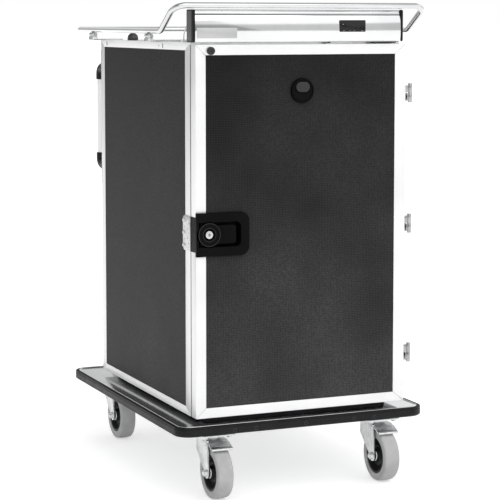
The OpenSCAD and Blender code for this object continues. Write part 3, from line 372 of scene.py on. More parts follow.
def laminateFinish(name, look):
    # pressed laminate with a fine woven grain, and painted light from the pale floor that makes it lighter
    # towards the bottom, fading upwards
    finish = finishOf(name, look)
    tree = finish.node_tree
    surface = tree.nodes["Principled BSDF"]
    place = addNode(tree, "ShaderNodeTexCoord").outputs["Object"]
    threads = []
    for direction in ("X", "Z"):
        threads.append(addNode(tree, "ShaderNodeTexWave",
                               settings={"wave_type": "BANDS", "bands_direction": direction},
                               feeds={"Vector": place, "Scale": look["weaveScale"],
                                      "Distortion": look["weaveWander"], "Detail": 2.0,
                                      "Detail Scale": 1.5}).outputs["Fac"])
    crossing = maths(tree, "MULTIPLY", *threads)
    before = surface.inputs["Base Color"].links[0].from_socket
    woven = mixed(tree, spread(tree, crossing, 0, look["weaveTone"], 0.1, 0.9), before, look["thread"] + (1,))
    # painted light: the colour is multiplied brighter towards the foot of each panel, standing in for light
    # from the pale floor
    height = addNode(tree, "ShaderNodeSeparateXYZ", feeds={0: place}).outputs["Z"]
    paintedFloorLight = spread(tree, height, look["paintedLightFoot"], look["paintedLightHead"], look["foot"], look["head"])
    tree.links.new(mixed(tree, 1.0, woven, paintedFloorLight, "MULTIPLY"), surface.inputs["Base Color"])
    relief = tree.nodes["Bump"]
    weave = addNode(tree, "ShaderNodeBump",
                    feeds={"Height": crossing, "Strength": look["weaveRelief"], "Distance": look["weaveDeep"],
                           "Normal": relief.outputs["Normal"]})
    tree.links.new(weave.outputs["Normal"], surface.inputs["Normal"])
    return finish


looks = {
    "latchBlack": {
        "dark": (0.0025, 0.0025, 0.0026), "pale": (0.006, 0.006, 0.0062), "rough": (0.42, 0.56),
        "gloss": 0.06, "grainSize": 900.0, "grainTone": 0.4, "relief": 0.15},
    "hingeSteel": {
        "dark": (0.36, 0.362, 0.366), "pale": (0.52, 0.523, 0.53), "metal": 1.0, "rough": (0.16, 0.28),
        "cloudSize": 60.0, "grainSize": 200.0, "relief": 0.06},
    "stainlessSatin": {
        "dark": (0.58, 0.585, 0.59), "pale": (0.70, 0.705, 0.71), "metal": 1.0, "rough": (0.20, 0.34),
        "grainScale": (2.0, 2.0, 60.0), "grainSize": 12.0, "grainTone": 0.35, "relief": 0.05},
    "trayPolished": {
        "dark": (0.50, 0.503, 0.508), "pale": (0.64, 0.644, 0.65), "metal": 1.0, "rough": (0.10, 0.2),
        "grainScale": (60.0, 2.0, 2.0), "grainSize": 12.0, "grainTone": 0.25, "relief": 0.03},
    "polished": {
        "dark": (0.74, 0.745, 0.75), "pale": (0.86, 0.865, 0.87), "metal": 1.0, "rough": (0.04, 0.12),
        "grainSize": 60.0, "grainTone": 0.12, "relief": 0.02},
    "fasciaSteel": {
        "dark": (0.74, 0.745, 0.75), "pale": (0.88, 0.885, 0.89), "metal": 1.0, "rough": (0.05, 0.1),
        "grainScale": (1.0, 20.0, 60.0), "grainSize": 12.0, "grainTone": 0.2, "relief": 0.03},
    "zincPlate": {
        "dark": (0.60, 0.605, 0.61), "pale": (0.85, 0.855, 0.86), "metal": 1.0, "rough": (0.24, 0.42),
        "cloudSize": 45.0, "grainSize": 260.0, "relief": 0.12},
    "anodised": {
        "dark": (0.87, 0.87, 0.874), "pale": (0.96, 0.96, 0.962), "metal": 0.75, "rough": (0.34, 0.46),
        "grainScale": (30.0, 30.0, 1.5), "grainSize": 20.0, "grainTone": 0.25, "relief": 0.04},
    "millAluminium": {
        "dark": (0.55, 0.55, 0.56), "pale": (0.75, 0.75, 0.76), "metal": 1.0, "rough": (0.3, 0.5),
        "grainSize": 120.0},
    "mouldedBlack": {
        "dark": (0.005, 0.005, 0.0055), "pale": (0.012, 0.012, 0.0125), "rough": (0.34, 0.5), "gloss": 0.2,
        "grainSize": 900.0, "grainTone": 0.4, "relief": 0.15},
    "mouldedGrey": {
        "dark": (0.035, 0.035, 0.037), "pale": (0.06, 0.06, 0.062), "rough": (0.35, 0.5), "gloss": 0.4,
        "grainSize": 800.0, "grainTone": 0.4, "relief": 0.15},
    "capGrey": {
        "dark": (0.10, 0.10, 0.102), "pale": (0.14, 0.14, 0.142), "rough": (0.4, 0.55), "gloss": 0.4,
        "grainSize": 700.0, "grainTone": 0.4, "relief": 0.12},
    "enamel": {
        "dark": (0.012, 0.012, 0.013), "pale": (0.03, 0.03, 0.031), "rough": (0.2, 0.34), "coat": 0.3,
        "grainSize": 200.0, "grainTone": 0.4, "relief": 0.06},
    "displayGloss": {
        "dark": (0.003, 0.003, 0.004), "pale": (0.006, 0.006, 0.007), "rough": (0.08, 0.16), "gloss": 0.35,
        "relief": 0.01},
    "bumperRubber": {
        "dark": (0.004, 0.004, 0.004), "pale": (0.013, 0.013, 0.0134), "rough": (0.34, 0.48), "gloss": 0.24,
        "cloudSize": 18.0, "grainSize": 420.0, "grainTone": 0.5, "relief": 0.2},
    "sealRubber": {
        "dark": (0.015, 0.015, 0.015), "pale": (0.028, 0.028, 0.028), "rough": (0.5, 0.65),
        "grainSize": 500.0, "grainTone": 0.4},
    "tyreGrey": {
        "dark": (0.48, 0.48, 0.48), "pale": (0.62, 0.62, 0.62), "rough": (0.5, 0.66), "gloss": 0.35,
        "cloudSize": 22.0, "grainSize": 260.0, "grainTone": 0.35, "relief": 0.15},
    "markGrey": {
        "dark": (0.30, 0.30, 0.31), "pale": (0.42, 0.42, 0.43), "rough": (0.4, 0.5), "relief": 0.02},
    "railSatin": {
        "dark": (0.66, 0.665, 0.67), "pale": (0.78, 0.785, 0.79), "metal": 1.0, "rough": (0.07, 0.14),
        "grainSize": 60.0, "grainTone": 0.2, "relief": 0.02},
    "speckledPlate": {
        "dark": (0.52, 0.52, 0.525), "pale": (0.88, 0.88, 0.885), "metal": 1.0, "rough": (0.3, 0.46),
        "cloudSize": 260.0, "grainSize": 500.0, "grainTone": 0.5, "relief": 0.2},
    "padGrey": {
        "dark": (0.03, 0.03, 0.031), "pale": (0.048, 0.048, 0.049), "rough": (0.3, 0.42), "gloss": 0.3,
        "grainSize": 800.0, "grainTone": 0.4},
    "unlitSegment": {
        "dark": (0.016, 0.016, 0.017), "pale": (0.024, 0.024, 0.025), "rough": (0.2, 0.3), "relief": 0.02},
    "platePlain": {
        "dark": (0.50, 0.50, 0.505), "pale": (0.62, 0.62, 0.625), "metal": 1.0, "rough": (0.3, 0.42),
        "grainScale": (2.0, 30.0, 60.0), "grainSize": 20.0, "relief": 0.04},
}
finishes = {name: finishOf(name, look) for name, look in looks.items()}
finishes["laminate"] = laminateFinish("laminate", {
    "dark": (0.009, 0.009, 0.0092), "pale": (0.031, 0.031, 0.0314), "rough": (0.4, 0.52), "gloss": 0.06,
    "cloudSize": 3.0, "grainSize": 210.0, "grainTone": 0.75, "relief": 0.25,
    "weaveScale": 60.0, "weaveWander": 3.0, "weaveTone": 0.38, "thread": (0.05, 0.05, 0.051),
    "weaveRelief": 0.3, "weaveDeep": 0.0002,
    "foot": 0.28, "head": 1.34, "paintedLightFoot": 2.8, "paintedLightHead": 1.1})
slotFinish = {
    "stainless": "stainlessSatin", "polished_steel": "polished", "zinc_steel": "zincPlate",
    "aluminium_profile": "anodised", "coil_aluminium": "millAluminium", "dark_laminate": "laminate",
    "black_plastic": "mouldedBlack", "grey_plastic": "mouldedGrey", "black_enamel": "enamel",
    "display_plastic": "displayGloss", "bumper_rubber": "bumperRubber", "grey_tyre": "tyreGrey"}

for sub in frame["record"]["subparts"]:
    node = frame["nodes"][sub["node"]]
    node.data.materials.clear()
    node.data.materials.append(finishes[slotFinish[sub["material_slot"]]])
print("finishes made:", len(finishes))


def fitUp(part, body, finish, slot, *nodes):
    # a made piece gets its finish and its body, and the solids it stands for are hidden
    part.data.materials.clear()
    part.data.materials.append(finishes[finish])
    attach(part, body)
    if nodes:
        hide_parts(*nodes)
    return part


def dress(nodeName, pieceName, body, finish, slot, soft, segments=2, smooth=32, sharp=30):
    # a copy of the CAD solid with soft edges stands for it
    part = softEdges(solidCopy(nodeName, pieceName), soft, segments, sharp)
    return fitUp(smoothOver(part, smooth), body, finish, slot, nodeName)


# Camera and light

view = {"place": (-2.3250, -5.4799, 1.4512), "azimuth": -23.16, "pitch": 4.913,
        "lens": 130.62, "sensor": 36, "shiftX": 0.00492, "shiftY": -0.15}
bpy.ops.object.camera_add(location=view["place"],
                          rotation=(math.radians(90 - view["pitch"]), 0, math.radians(view["azimuth"])))
camera = bpy.context.object
camera.data.lens = view["lens"]
camera.data.sensor_width = view["sensor"]
camera.data.shift_x = view["shiftX"]
camera.data.shift_y = view["shiftY"]
bpy.context.scene.camera = camera

suns = {
    "keySun": {"from": (-0.3, -2.0, 2.0), "spread": 70, "strength": 0.85},
    "fillSun": {"from": (1.6, -1.6, 1.6), "spread": 90, "strength": 0.4},
    "backSun": {"from": (0.6, 2.0, 2.6), "spread": 80, "strength": 0.3},
}
for sunName, sun in suns.items():
    aim = -Vector(sun["from"])
    bpy.ops.object.light_add(type="SUN", location=sun["from"],
                             rotation=aim.to_track_quat("-Z", "Y").to_euler())
    light = bpy.context.object
    light.name = sunName
    light.data.angle = math.radians(sun["spread"])
    light.data.energy = sun["strength"]

world = bpy.data.worlds.new("studio")
bpy.context.scene.world = world
world.use_nodes = True
# Height above the horizon and tone of the studio that steel and lacquer mirror: a grey far wall,
# a white screen over it and a dark ceiling. It is dimmer on the left, and behind it is dimmer too.
sky = {"left": 0.48, "right": 0.64, "shown": 1.0, "leftMirror": 0.62, "leftBand": (-0.45, 0.2),
       "behindMirror": 0.6, "behindBand": (0.3, 0.42), "turnBand": (-0.1, 0.1),
       "bands": ((0.0, 0.4), (0.1, 0.44), (0.125, 1.0), (0.5, 1.0), (0.72, 0.25), (1.0, 0.2))}
tree = world.node_tree
tree.nodes.clear()
rays = addNode(tree, "ShaderNodeLightPath")
seen = maths(tree, "MAXIMUM", rays.outputs["Is Glossy Ray"], rays.outputs["Is Transmission Ray"])
whichWay = addNode(tree, "ShaderNodeSeparateXYZ",
                   feeds={0: addNode(tree, "ShaderNodeTexCoord").outputs["Generated"]})
before = spread(tree, whichWay.outputs["X"], sky["leftMirror"], 1.0, *sky["leftBand"])
behind = spread(tree, whichWay.outputs["X"], sky["behindMirror"], 1.0, *sky["behindBand"])
rearward = spread(tree, whichWay.outputs["Y"], 0, 1, *sky["turnBand"])
dimmer = addNode(tree, "ShaderNodeMix", feeds={0: rearward, 2: before, 3: behind})
dome = addNode(tree, "ShaderNodeValToRGB", feeds={0: whichWay.outputs["Z"]})
stops = dome.color_ramp.elements
for place, tone in sky["bands"][1:-1]:
    stops.new(place)
for stop, (place, tone) in zip(stops, sky["bands"]):
    stop.position = place
    stop.color = (tone, tone, tone, 1)
softLight = spread(tree, whichWay.outputs["X"], sky["left"], sky["right"], -1, 1)
plain = addNode(tree, "ShaderNodeBackground", feeds={"Color": (1, 1, 1, 1), "Strength": softLight})
mirrored = addNode(tree, "ShaderNodeBackground",
                   feeds={"Color": dome.outputs["Color"], "Strength": dimmer.outputs[0]})
white = addNode(tree, "ShaderNodeBackground", feeds={"Color": (1, 1, 1, 1), "Strength": sky["shown"]})
first = addNode(tree, "ShaderNodeMixShader",
                feeds={0: seen, 1: plain.outputs[0], 2: mirrored.outputs[0]})
second = addNode(tree, "ShaderNodeMixShader",
                 feeds={0: rays.outputs["Is Camera Ray"], 1: first.outputs[0], 2: white.outputs[0]})
addNode(tree, "ShaderNodeOutputWorld", feeds={"Surface": second.outputs[0]})

ground = {"size": 400.0, "level": -0.0005, "colour": (0.86, 0.86, 0.86), "rough": 0.9, "lift": 0.48}
bpy.ops.mesh.primitive_plane_add(size=ground["size"], location=(0, 0, ground["level"]))
studioFloor = bpy.context.object
studioFloor.name = "studio_floor"
paleFloor = bpy.data.materials.new("paleFloor")
paleFloor.use_nodes = True
tree = paleFloor.node_tree
surface = tree.nodes["Principled BSDF"]
surface.inputs["Base Color"].default_value = ground["colour"] + (1,)
surface.inputs["Roughness"].default_value = ground["rough"]
surface.inputs["Specular IOR Level"].default_value = 0.0
surface.inputs["Emission Color"].default_value = (1, 1, 1, 1)
rays = addNode(tree, "ShaderNodeLightPath")
anySeen = maths(tree, "MAXIMUM", rays.outputs["Is Camera Ray"], rays.outputs["Is Glossy Ray"])
glow = maths(tree, "MULTIPLY", anySeen, ground["lift"])
tree.links.new(glow, surface.inputs["Emission Strength"])
studioFloor.data.materials.append(paleFloor)
bpy.context.scene.view_settings.view_transform = "Standard"
print("camera, lamps and floor placed")


# Base: tray, bumper and its screws

dress("base_tray", "tray_deck", "root", "trayPolished", "stainless", soft=0.8)
dress("bumper_strip", "rubber_bumper", "root", "bumperRubber", "bumper_rubber", soft=0.7, smooth=30, sharp=25)

# A steel bead stands between the tray and the bumper's top, which a thin dark sheet of low gloss covers as
# painted reflection; ribs run round its outer face
bumperForm = {"wide": 836.0, "long": 1045.0, "round": 50.0, "middle": 495.5, "top": 230.0, "rear": 1017.2,
              "band": 13.0, "beadR": 1.5, "sheetIn": 1.5, "sheetHigh": 0.6, "sheetSunk": 0.2, "lipSoft": 0.15,
              "ribR": 0.8, "ribIn": 0.3, "ribs": (206.5, 210.0, 219.5)}


def baseOutline(inset):  # the base seen from above, moved in
    return roundedOutline(bumperForm["wide"] - 2 * inset, bumperForm["long"] - 2 * inset,
                          bumperForm["round"] - inset, 10)


def roundBase(inset, level):  # the same outline as a path at a level, which keeps short of the rear end
    return [spot(x, min(y + bumperForm["middle"], bumperForm["rear"]), level) for x, y in baseOutline(inset)]


beadPath = roundBase(bumperForm["band"], bumperForm["top"])
fitUp(bentTube("tray_bead", beadPath, bumperForm["beadR"], closed=True), "root", "polished", "stainless")
# painted reflection: a thin black sheet of low gloss darkens the bumper's top where it mirrors the dark door
# and side panels
darkReflectionSheet = cutOut("bumper_top_painted_reflection", baseOutline(bumperForm["sheetIn"]), bumperForm["sheetHigh"])
hollow = putAt(cutOut("hollow", baseOutline(bumperForm["band"] - 1), 4), (0, 0, -2 * mm))
putAt(cutAway(darkReflectionSheet, hollow), spot(0, bumperForm["middle"], bumperForm["top"] - bumperForm["sheetSunk"]))
fitUp(softEdges(darkReflectionSheet, bumperForm["lipSoft"], 1), "root", "latchBlack", "bumper_rubber")
ribs = [bentTube("rib", roundBase(bumperForm["ribIn"], level), bumperForm["ribR"], closed=True, sides=3)
        for level in bumperForm["ribs"]]
fitUp(joined("bumper_ribs", ribs), "root", "bumperRubber", "bumper_rubber")

bumperScrew = {"outer": 6.0, "flat": 5.5, "lip": 5.0, "rim": 4.6, "pit": 3.0, "proud": 0.5, "level": 213.0,
               "sides": (37, 180, 297, 491, 695, 880), "ends": (-236, -166, 0, 166, 236)}
outer, rim, pit, proud = (bumperScrew[key] for key in ("outer", "rim", "pit", "proud"))
rubberScrew = turned("bumper_screws", [
    (0, -1.0), (pit, -1.0), (rim, 0.2), (bumperScrew["lip"], proud), (bumperScrew["flat"], proud),
    (outer, 0.0), (outer, -2.0), (0, -2.0)], 24)
bumperLow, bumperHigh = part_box("bumper_strip")
screwPlaces = []
for y in bumperScrew["sides"]:
    place = spot(0, y, bumperScrew["level"])
    screwPlaces += [((bumperHigh.x, place.y, place.z), (0, 90, 0)),
                    ((bumperLow.x, place.y, place.z), (0, -90, 0))]
for x in bumperScrew["ends"]:
    place = spot(x, 0, bumperScrew["level"])
    screwPlaces += [((place.x, bumperLow.y, place.z), toFront),
                    ((place.x, bumperHigh.y - proud * mm, place.z), (-90, 0, 0))]
fitUp(smoothOver(setOut(rubberScrew, "bumper_screws", screwPlaces)), "root", "mouldedGrey", "black_plastic")
print("base done")


# Castors

castorAxis = {"fl": spot(-281, 57, 0), "fr": spot(281, 57, 0),
              "rl": spot(-281, 934, 0), "rr": spot(281, 934, 0)}
wheel = {"trail": 46.0, "axle": 80.0}
tyreSide = [
    (57, 24), (59.5, 25), (64, 25), (65.5, 25.5), (68, 25.5), (69.5, 25), (74, 25), (76.4, 24),
    (78.2, 21.5), (79.3, 17), (79.8, 11), (80, 4)]
tyreOutline = [(r, -h) for r, h in tyreSide] + tyreSide[::-1]
hubSide = [
    (6.1, 29.5), (10.5, 29.5), (11.5, 28.5), (11.5, 25), (14.5, 24), (15.5, 25), (17.5, 25), (18.5, 23.5),
    (19.5, 18), (21.5, 14), (25, 11.6), (27, 11.6), (28.5, 13), (31, 13), (32.5, 11.2), (36, 8.6), (42, 8),
    (44.5, 9.5), (47, 14), (49, 20.5), (50.5, 22.5), (55.5, 23.2), (57, 22.5)]
hubOutline = hubSide + [(r, -h) for r, h in hubSide[::-1]]
bearingOutline = [
    (12.0, 25.2), (14.2, 25.2), (15.2, 26.6), (17.0, 26.6), (18.0, 25.0), (18.0, 20.0), (12.0, 20.0)]
tyre = smoothOver(turned("tyre", tyreOutline, 96, closed=True), 40)
hub = smoothOver(turned("hub", hubOutline, 72, closed=True), 35)
bearing = smoothOver(turned("bearing", bearingOutline, 48, closed=True), 35)
bearing = joined("bearing", [bearing, flipped(bearing, "bearing")])

# Front strip of each leg of a fork, pressed out from the crown down to the axle
pressedRib = {"side": [(-53, 176), (-16, 176), (-13, 172), (-13, 132), (-31, 100), (-38, 96), (-55, 96),
                       (-59, 100)],
              "thick": 1.6, "left": -35.6, "right": 34.0, "edge": 0.7}
for corner, axis in castorAxis.items():
    wheelPlace = axis + Vector((0, -wheel["trail"] * mm, wheel["axle"] * mm))
    onWheel = "wheel_" + corner
    fitUp(another(tyre, "tyre_" + corner, wheelPlace, (0, 90, 0)), onWheel, "tyreGrey", "grey_tyre",
          "castor_tyre_" + corner)
    fitUp(another(hub, "hub_" + corner, wheelPlace, (0, 90, 0)), onWheel, "mouldedBlack", "black_plastic",
          "castor_hub_" + corner)
    fitUp(another(bearing, "bearing_" + corner, wheelPlace, (0, 90, 0)), onWheel, "zincPlate", "zinc_steel")
    dress("castor_fork_" + corner, "fork_" + corner, "castor_" + corner, "zincPlate", "zinc_steel", soft=0.9)
    ribPair = []
    for side in ("left", "right"):
        raised = putAt(cutOut("leg", pressedRib["side"], pressedRib["thick"]), (0, 0, 0), toSide)
        putAt(raised, axis + Vector((pressedRib[side] * mm, 0, 0)))
        ribPair.append(softEdges(raised, pressedRib["edge"], 2))
    fitUp(smoothOver(joined("fork_ribs_" + corner, ribPair)), "castor_" + corner, "zincPlate", "zinc_steel")
for part in (tyre, hub, bearing):
    bpy.data.objects.remove(part)
print("castors done")


# Castor plates, chassis and brake pedals

dress("castor_plates", "castor_plates_dressed", "root", "zincPlate", "zinc_steel", soft=0.6)
dress("base_frame", "chassis_rails", "root", "zincPlate", "zinc_steel", soft=0.8)

# Seen from the side, the foot plate starts flat and then falls to the rolled lip. Half its plan is given
pedal = {"top": [(-40, 183), (-60, 176.8), (-66, 174.0), (-82, 165.4), (-89, 162.4)],
         "under": [(-88, 158.4), (-81, 161.2), (-65, 169.8), (-59, 172.4), (-40, 179)],
         "half": [(-28, -38), (-28, -52), (-29.5, -57), (-33.5, -61), (-35, -66), (-35, -92)],
         "lipR": 4.2, "lipBore": 2.5, "lipHalf": 34.0, "lipSoft": 0.5, "lipAt": (-90, 158.5),
         "soft": 0.9, "boss": (31.0, 12.0, 3), "bossHigh": 1.0, "bossAt": (-74.5, 168.6), "bossTilt": 28.0}
shoeForm = {"side": [(-54, 165), (-41.5, 170), (-41.5, 179.6), (-60, 172.6), (-77, 163.6), (-77, 157.9),
                     (-62, 161.4)],
            "half": 18.0, "soft": 1.2, "sleeveR": 7.5, "sleeveHalf": 29.7, "pin": (-47, 171)}


pedalPlan = pedal["half"] + [(-x, y) for x, y in pedal["half"][::-1]]


def fromSide(y, z):  # a place on a pedal, seen from the side of its castor
    return Vector((0, y * mm, z * mm))


for corner in ("fl", "fr"):
    axis = castorAxis[corner]
    sheet = putAt(cutOut("strip", pedal["top"] + pedal["under"], 80), (-40 * mm, 0, 0), toSide)
    plan = putAt(cutOut("plan", pedalPlan, 40), fromSide(0, 150))
    footPlate = softEdges(cutAway(sheet, plan, way="INTERSECT"), pedal["soft"], 3)
    boss = slab("boss", pedal["boss"], pedal["bossHigh"], soft=0.45)
    putAt(boss, fromSide(*pedal["bossAt"]), (pedal["bossTilt"], 0, 0))
    bore, rim, half, soft = (pedal[key] for key in ("lipBore", "lipR", "lipHalf", "lipSoft"))
    rolledLip = turned("lip", [(bore, -half), (rim - soft, -half), (rim, -half + soft), (rim, half - soft),
                               (rim - soft, half), (bore, half)], 32, closed=True)
    putAt(rolledLip, fromSide(*pedal["lipAt"]), (0, 90, 0))
    footPlate = putAt(joined("pedal_plate_" + corner, [footPlate, boss, rolledLip]), axis)
    fitUp(smoothOver(footPlate, 40), "pedal_" + corner, "zincPlate", "zinc_steel", "brake_pedal_" + corner)
    shoe = cutOut("shoe", shoeForm["side"], 2 * shoeForm["half"])
    putAt(shoe, (-shoeForm["half"] * mm, 0, 0), toSide)
    sleeveEnds = [Vector((side * shoeForm["sleeveHalf"], *shoeForm["pin"])) * mm for side in (-1, 1)]
    sleeve = bentTube("sleeve", sleeveEnds, shoeForm["sleeveR"])
    shoe = putAt(joined("pedal_shoe_" + corner, [softEdges(shoe, shoeForm["soft"], 3), sleeve]), axis)
    fitUp(smoothOver(shoe, 40), "pedal_" + corner, "mouldedBlack", "black_plastic")
print("pedals done")


# Cabinet profiles, door seal and plinth

# The edges where the door meets the cabinet are rounder than the rest
profileLook = {"edge": 1.4, "steps": 3, "meeting": 3.0, "meetingSteps": 5, "meetingFrom": 38.5,
               "meetingTo": 43.5, "meetingX": 351.5}


def whereDoorMeets(x, y, z):
    return profileLook["meetingFrom"] < y < profileLook["meetingTo"] and abs(x) > profileLook["meetingX"]


for nodeName, pieceName, bodyName in (("side_frame_left", "left_side_profiles", "root"),
                                      ("side_frame_right", "right_side_profiles", "root"),
                                      ("cross_rails", "cross_profiles", "root"),
                                      ("door_frame", "door_profiles", "door")):
    profiles = roundEdges(solidCopy(nodeName, pieceName), profileLook["meeting"], profileLook["meetingSteps"],
                          whereDoorMeets)
    softEdges(profiles, profileLook["edge"], profileLook["steps"])
    fitUp(smoothOver(profiles), bodyName, "anodised", "aluminium_profile", nodeName)

# Thin black pieces lie on the side profiles where their slots are; their black is painted shade of the slots'
# hollows
frameSlots = {"places": ((810, 5, 14), (275, 5, 14), (309, 4, 4)), "level": 1369.0, "x": 351.3, "thick": 1.0}
slots = []
for y, wide, high in frameSlots["places"]:
    for side, turn in ((-1, -90), (1, 90)):
        slotShade = cutOut("slotShade", roundedOutline(high, wide, wide * 0.45, 4), frameSlots["thick"])
        slots.append(putAt(slotShade, spot(side * frameSlots["x"], y, frameSlots["level"]), (0, turn, 0)))
fitUp(joined("profile_slots_painted_shade", slots), "root", "mouldedBlack", "black_plastic")

# A thin black frame fills the gap between the door's back and the cabinet's front: painted shade of the gap
gapShadeForm = {"middle": 812.5, "wide": 703.4, "high": 1124.4, "thick": 2.6, "y": 39.0, "deep": 3.5}
gapShadeStrip = cutOut("door_gap_painted_shade", roundedOutline(gapShadeForm["wide"], gapShadeForm["high"], 1.0, 2),
                   gapShadeForm["deep"])
opening = cutOut("window", roundedOutline(gapShadeForm["wide"] - 2 * gapShadeForm["thick"],
                                          gapShadeForm["high"] - 2 * gapShadeForm["thick"], 1.0, 2), 8)
cutAway(gapShadeStrip, putAt(opening, (0, 0, -2 * mm)))
putAt(gapShadeStrip, spot(0, gapShadeForm["y"] + gapShadeForm["deep"], gapShadeForm["middle"]), toFront)
fitUp(gapShadeStrip, "door", "latchBlack", "bumper_rubber")
dress("door_gasket", "door_seal", "door", "sealRubber", "bumper_rubber", soft=1.5, segments=3, smooth=45)
dress("plinth", "plinth_board", "root", "mouldedBlack", "black_plastic", soft=1.5)
print("cabinet profiles done")


# Screws with a cross recess, turned and cut once

def screwHead(radius, high):
    head = turned("screw", [(0, high), (radius * 0.5, high * 0.96), (radius * 0.82, high * 0.7),
                            (radius, high * 0.2), (radius, -0.6), (0, -0.6)], 28)
    arm, web = radius * 0.56, radius * 0.13
    cross = cutOut("cross", [
        (web, web), (arm, web), (arm, -web), (web, -web), (web, -arm), (-web, -arm),
        (-web, -web), (-arm, -web), (-arm, web), (-web, web), (-web, arm), (web, arm)], high + 1)
    putAt(cross, (0, 0, high * 0.3 * mm))
    return smoothOver(cutAway(head, cross))


# Hinges

hinges = {"x": 355.0, "levels": (403.0, 812.5, 1222.0), "doorY": 23.0, "bodyY": (56.0, 74.0), "screwUp": 13.0,
          "screw": (4.2, 1.6)}
for nodeName, pieceName, bodyName in (("hinge_body_leaves", "hinge_leaves_body", "root"),
                                      ("hinge_door_leaves", "hinge_leaves_door", "door")):
    dress(nodeName, pieceName, bodyName, "hingeSteel", "stainless", soft=0.7)
outwards = (0, 90, 0)
doorPlaces = [(spot(hinges["x"], hinges["doorY"], z + hinges["screwUp"]), outwards) for z in hinges["levels"]]
bodyPlaces = [(spot(hinges["x"], y, z - hinges["screwUp"]), outwards)
              for z in hinges["levels"] for y in hinges["bodyY"]]
for pieceName, bodyName, places in (("hinge_screws_door", "door", doorPlaces),
                                    ("hinge_screws_body", "root", bodyPlaces)):
    fitUp(setOut(screwHead(*hinges["screw"]), pieceName, places), bodyName, "stainlessSatin", "stainless")
print("hinges done")


# Latch: housing, paddle with its rosette, lock, bolt and strike plate

# The rosette and the ridge sit a little way into the paddle's face
latch = {"level": 808.0, "lockX": -311.2, "paddleY": -7.7, "shellY": -10.9, "shellRound": 2.6,
         "sideX": -353.2, "sideY": -10, "sideRound": 0.9, "gripY": -7.9, "gripRound": 1.6, "lockY": -8.9,
         "lockRim": 11.5, "lockRound": 1.1, "highlightRings": ((34.4, 1.9), (20.6, 1.0)), "beadR": 0.9,
         "ridge": (38, 44, 7), "ridgeHigh": 1.2, "ridgeX": -249, "slit": (2.0, 7.0, 0.9, 4), "slitDeep": 3.0,
         "rosette": [(16.4, 0), (36.6, 0), (36.4, 1.0), (35.4, 1.9), (33.6, 2.1), (32.0, 1.3), (28, 1.1),
                     (21, 1.3), (19.5, 2.2), (17.6, 2.3), (16.4, 1.4)],
         "core": [(0, 0.5), (4.2, 0.5), (4.7, 0), (4.7, -2.0), (0, -2.0)]}


def onLatch(x, y):  # a place at the latch's height
    return spot(x, y, latch["level"])


housing = solidCopy("latch_housing", "latch_shell")
roundEdges(housing, latch["shellRound"], 4, lambda x, y, z: y < latch["shellY"])
roundEdges(housing, latch["sideRound"], 2, lambda x, y, z: x < latch["sideX"] and y > latch["sideY"])
fitUp(smoothOver(housing, 38), "door", "latchBlack", "black_plastic", "latch_housing")
paddle = solidCopy("latch_paddle", "paddle_grip")
roundEdges(paddle, latch["gripRound"], 3, lambda x, y, z: y < latch["gripY"])
fitUp(smoothOver(paddle, 38), "paddle", "latchBlack", "black_plastic", "latch_paddle")
rosette = turned("paddle_rosette", latch["rosette"], 72, closed=True)
putAt(rosette, onLatch(latch["lockX"], latch["paddleY"]), toFront)
fitUp(smoothOver(rosette, 40), "paddle", "latchBlack", "black_plastic")
# painted highlights: thin grey rings on the rosette's ridges stand in for light caught along the boss's edges
highlightRings = [hoop(onLatch(latch["lockX"], latch["paddleY"] - proud), radius, latch["beadR"])
         for radius, proud in latch["highlightRings"]]
fitUp(smoothOver(joined("paddle_painted_highlights", highlightRings), 50), "paddle", "padGrey", "grey_plastic")
ridge = slab("paddle_ridge", latch["ridge"], latch["ridgeHigh"], soft=0.55)
putAt(ridge, onLatch(latch["ridgeX"], latch["paddleY"]), toFront)
fitUp(smoothOver(ridge), "paddle", "latchBlack", "black_plastic")


def lockRim(x, y, z):  # the outer rim of the lock's face
    return y < latch["lockY"] and math.hypot(x - latch["lockX"], z - latch["level"]) > latch["lockRim"]


lock = roundEdges(solidCopy("lock_cylinder", "lock_barrel"), latch["lockRound"], 3, lockRim)
fitUp(smoothOver(lock, 38), "lock", "stainlessSatin", "polished_steel", "lock_cylinder")
lockCore = turned("lock_core", latch["core"], 40)
slit = putAt(cutOut("slit", roundedOutline(*latch["slit"]), latch["slitDeep"]), (0, 0, -1.2 * mm))
lockFace = (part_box("lock_cylinder")[0].y - faceY) / mm
putAt(cutAway(lockCore, slit), onLatch(latch["lockX"], lockFace), toFront)
fitUp(smoothOver(lockCore, 40), "lock", "markGrey", "zinc_steel")
dress("latch_bolt", "bolt_hook", "bolt", "zincPlate", "zinc_steel", soft=0.7)

strike = {"x": -355.0,
          "holes": ((52, 30), (52, -30), (62, 14), (62, -14), (78, 36), (78, -36), (84, 19), (84, -19)),
          "drill": [(0, -4), (2.3, -4), (2.3, 0.6), (2.9, 1.4), (2.9, 4), (0, 4)]}
strikePlate = softEdges(solidCopy("strike_plate", "strike_plate_dressed"), 0.6, 2)
for y, up in strike["holes"]:
    drill = turned("drill", strike["drill"], 20)
    cutAway(strikePlate, putAt(drill, spot(strike["x"], y, latch["level"] + up), (0, -90, 0)))
fitUp(smoothOver(strikePlate), "root", "speckledPlate", "stainless", "strike_plate")
print("latch done")


# Vent and buffer on the door

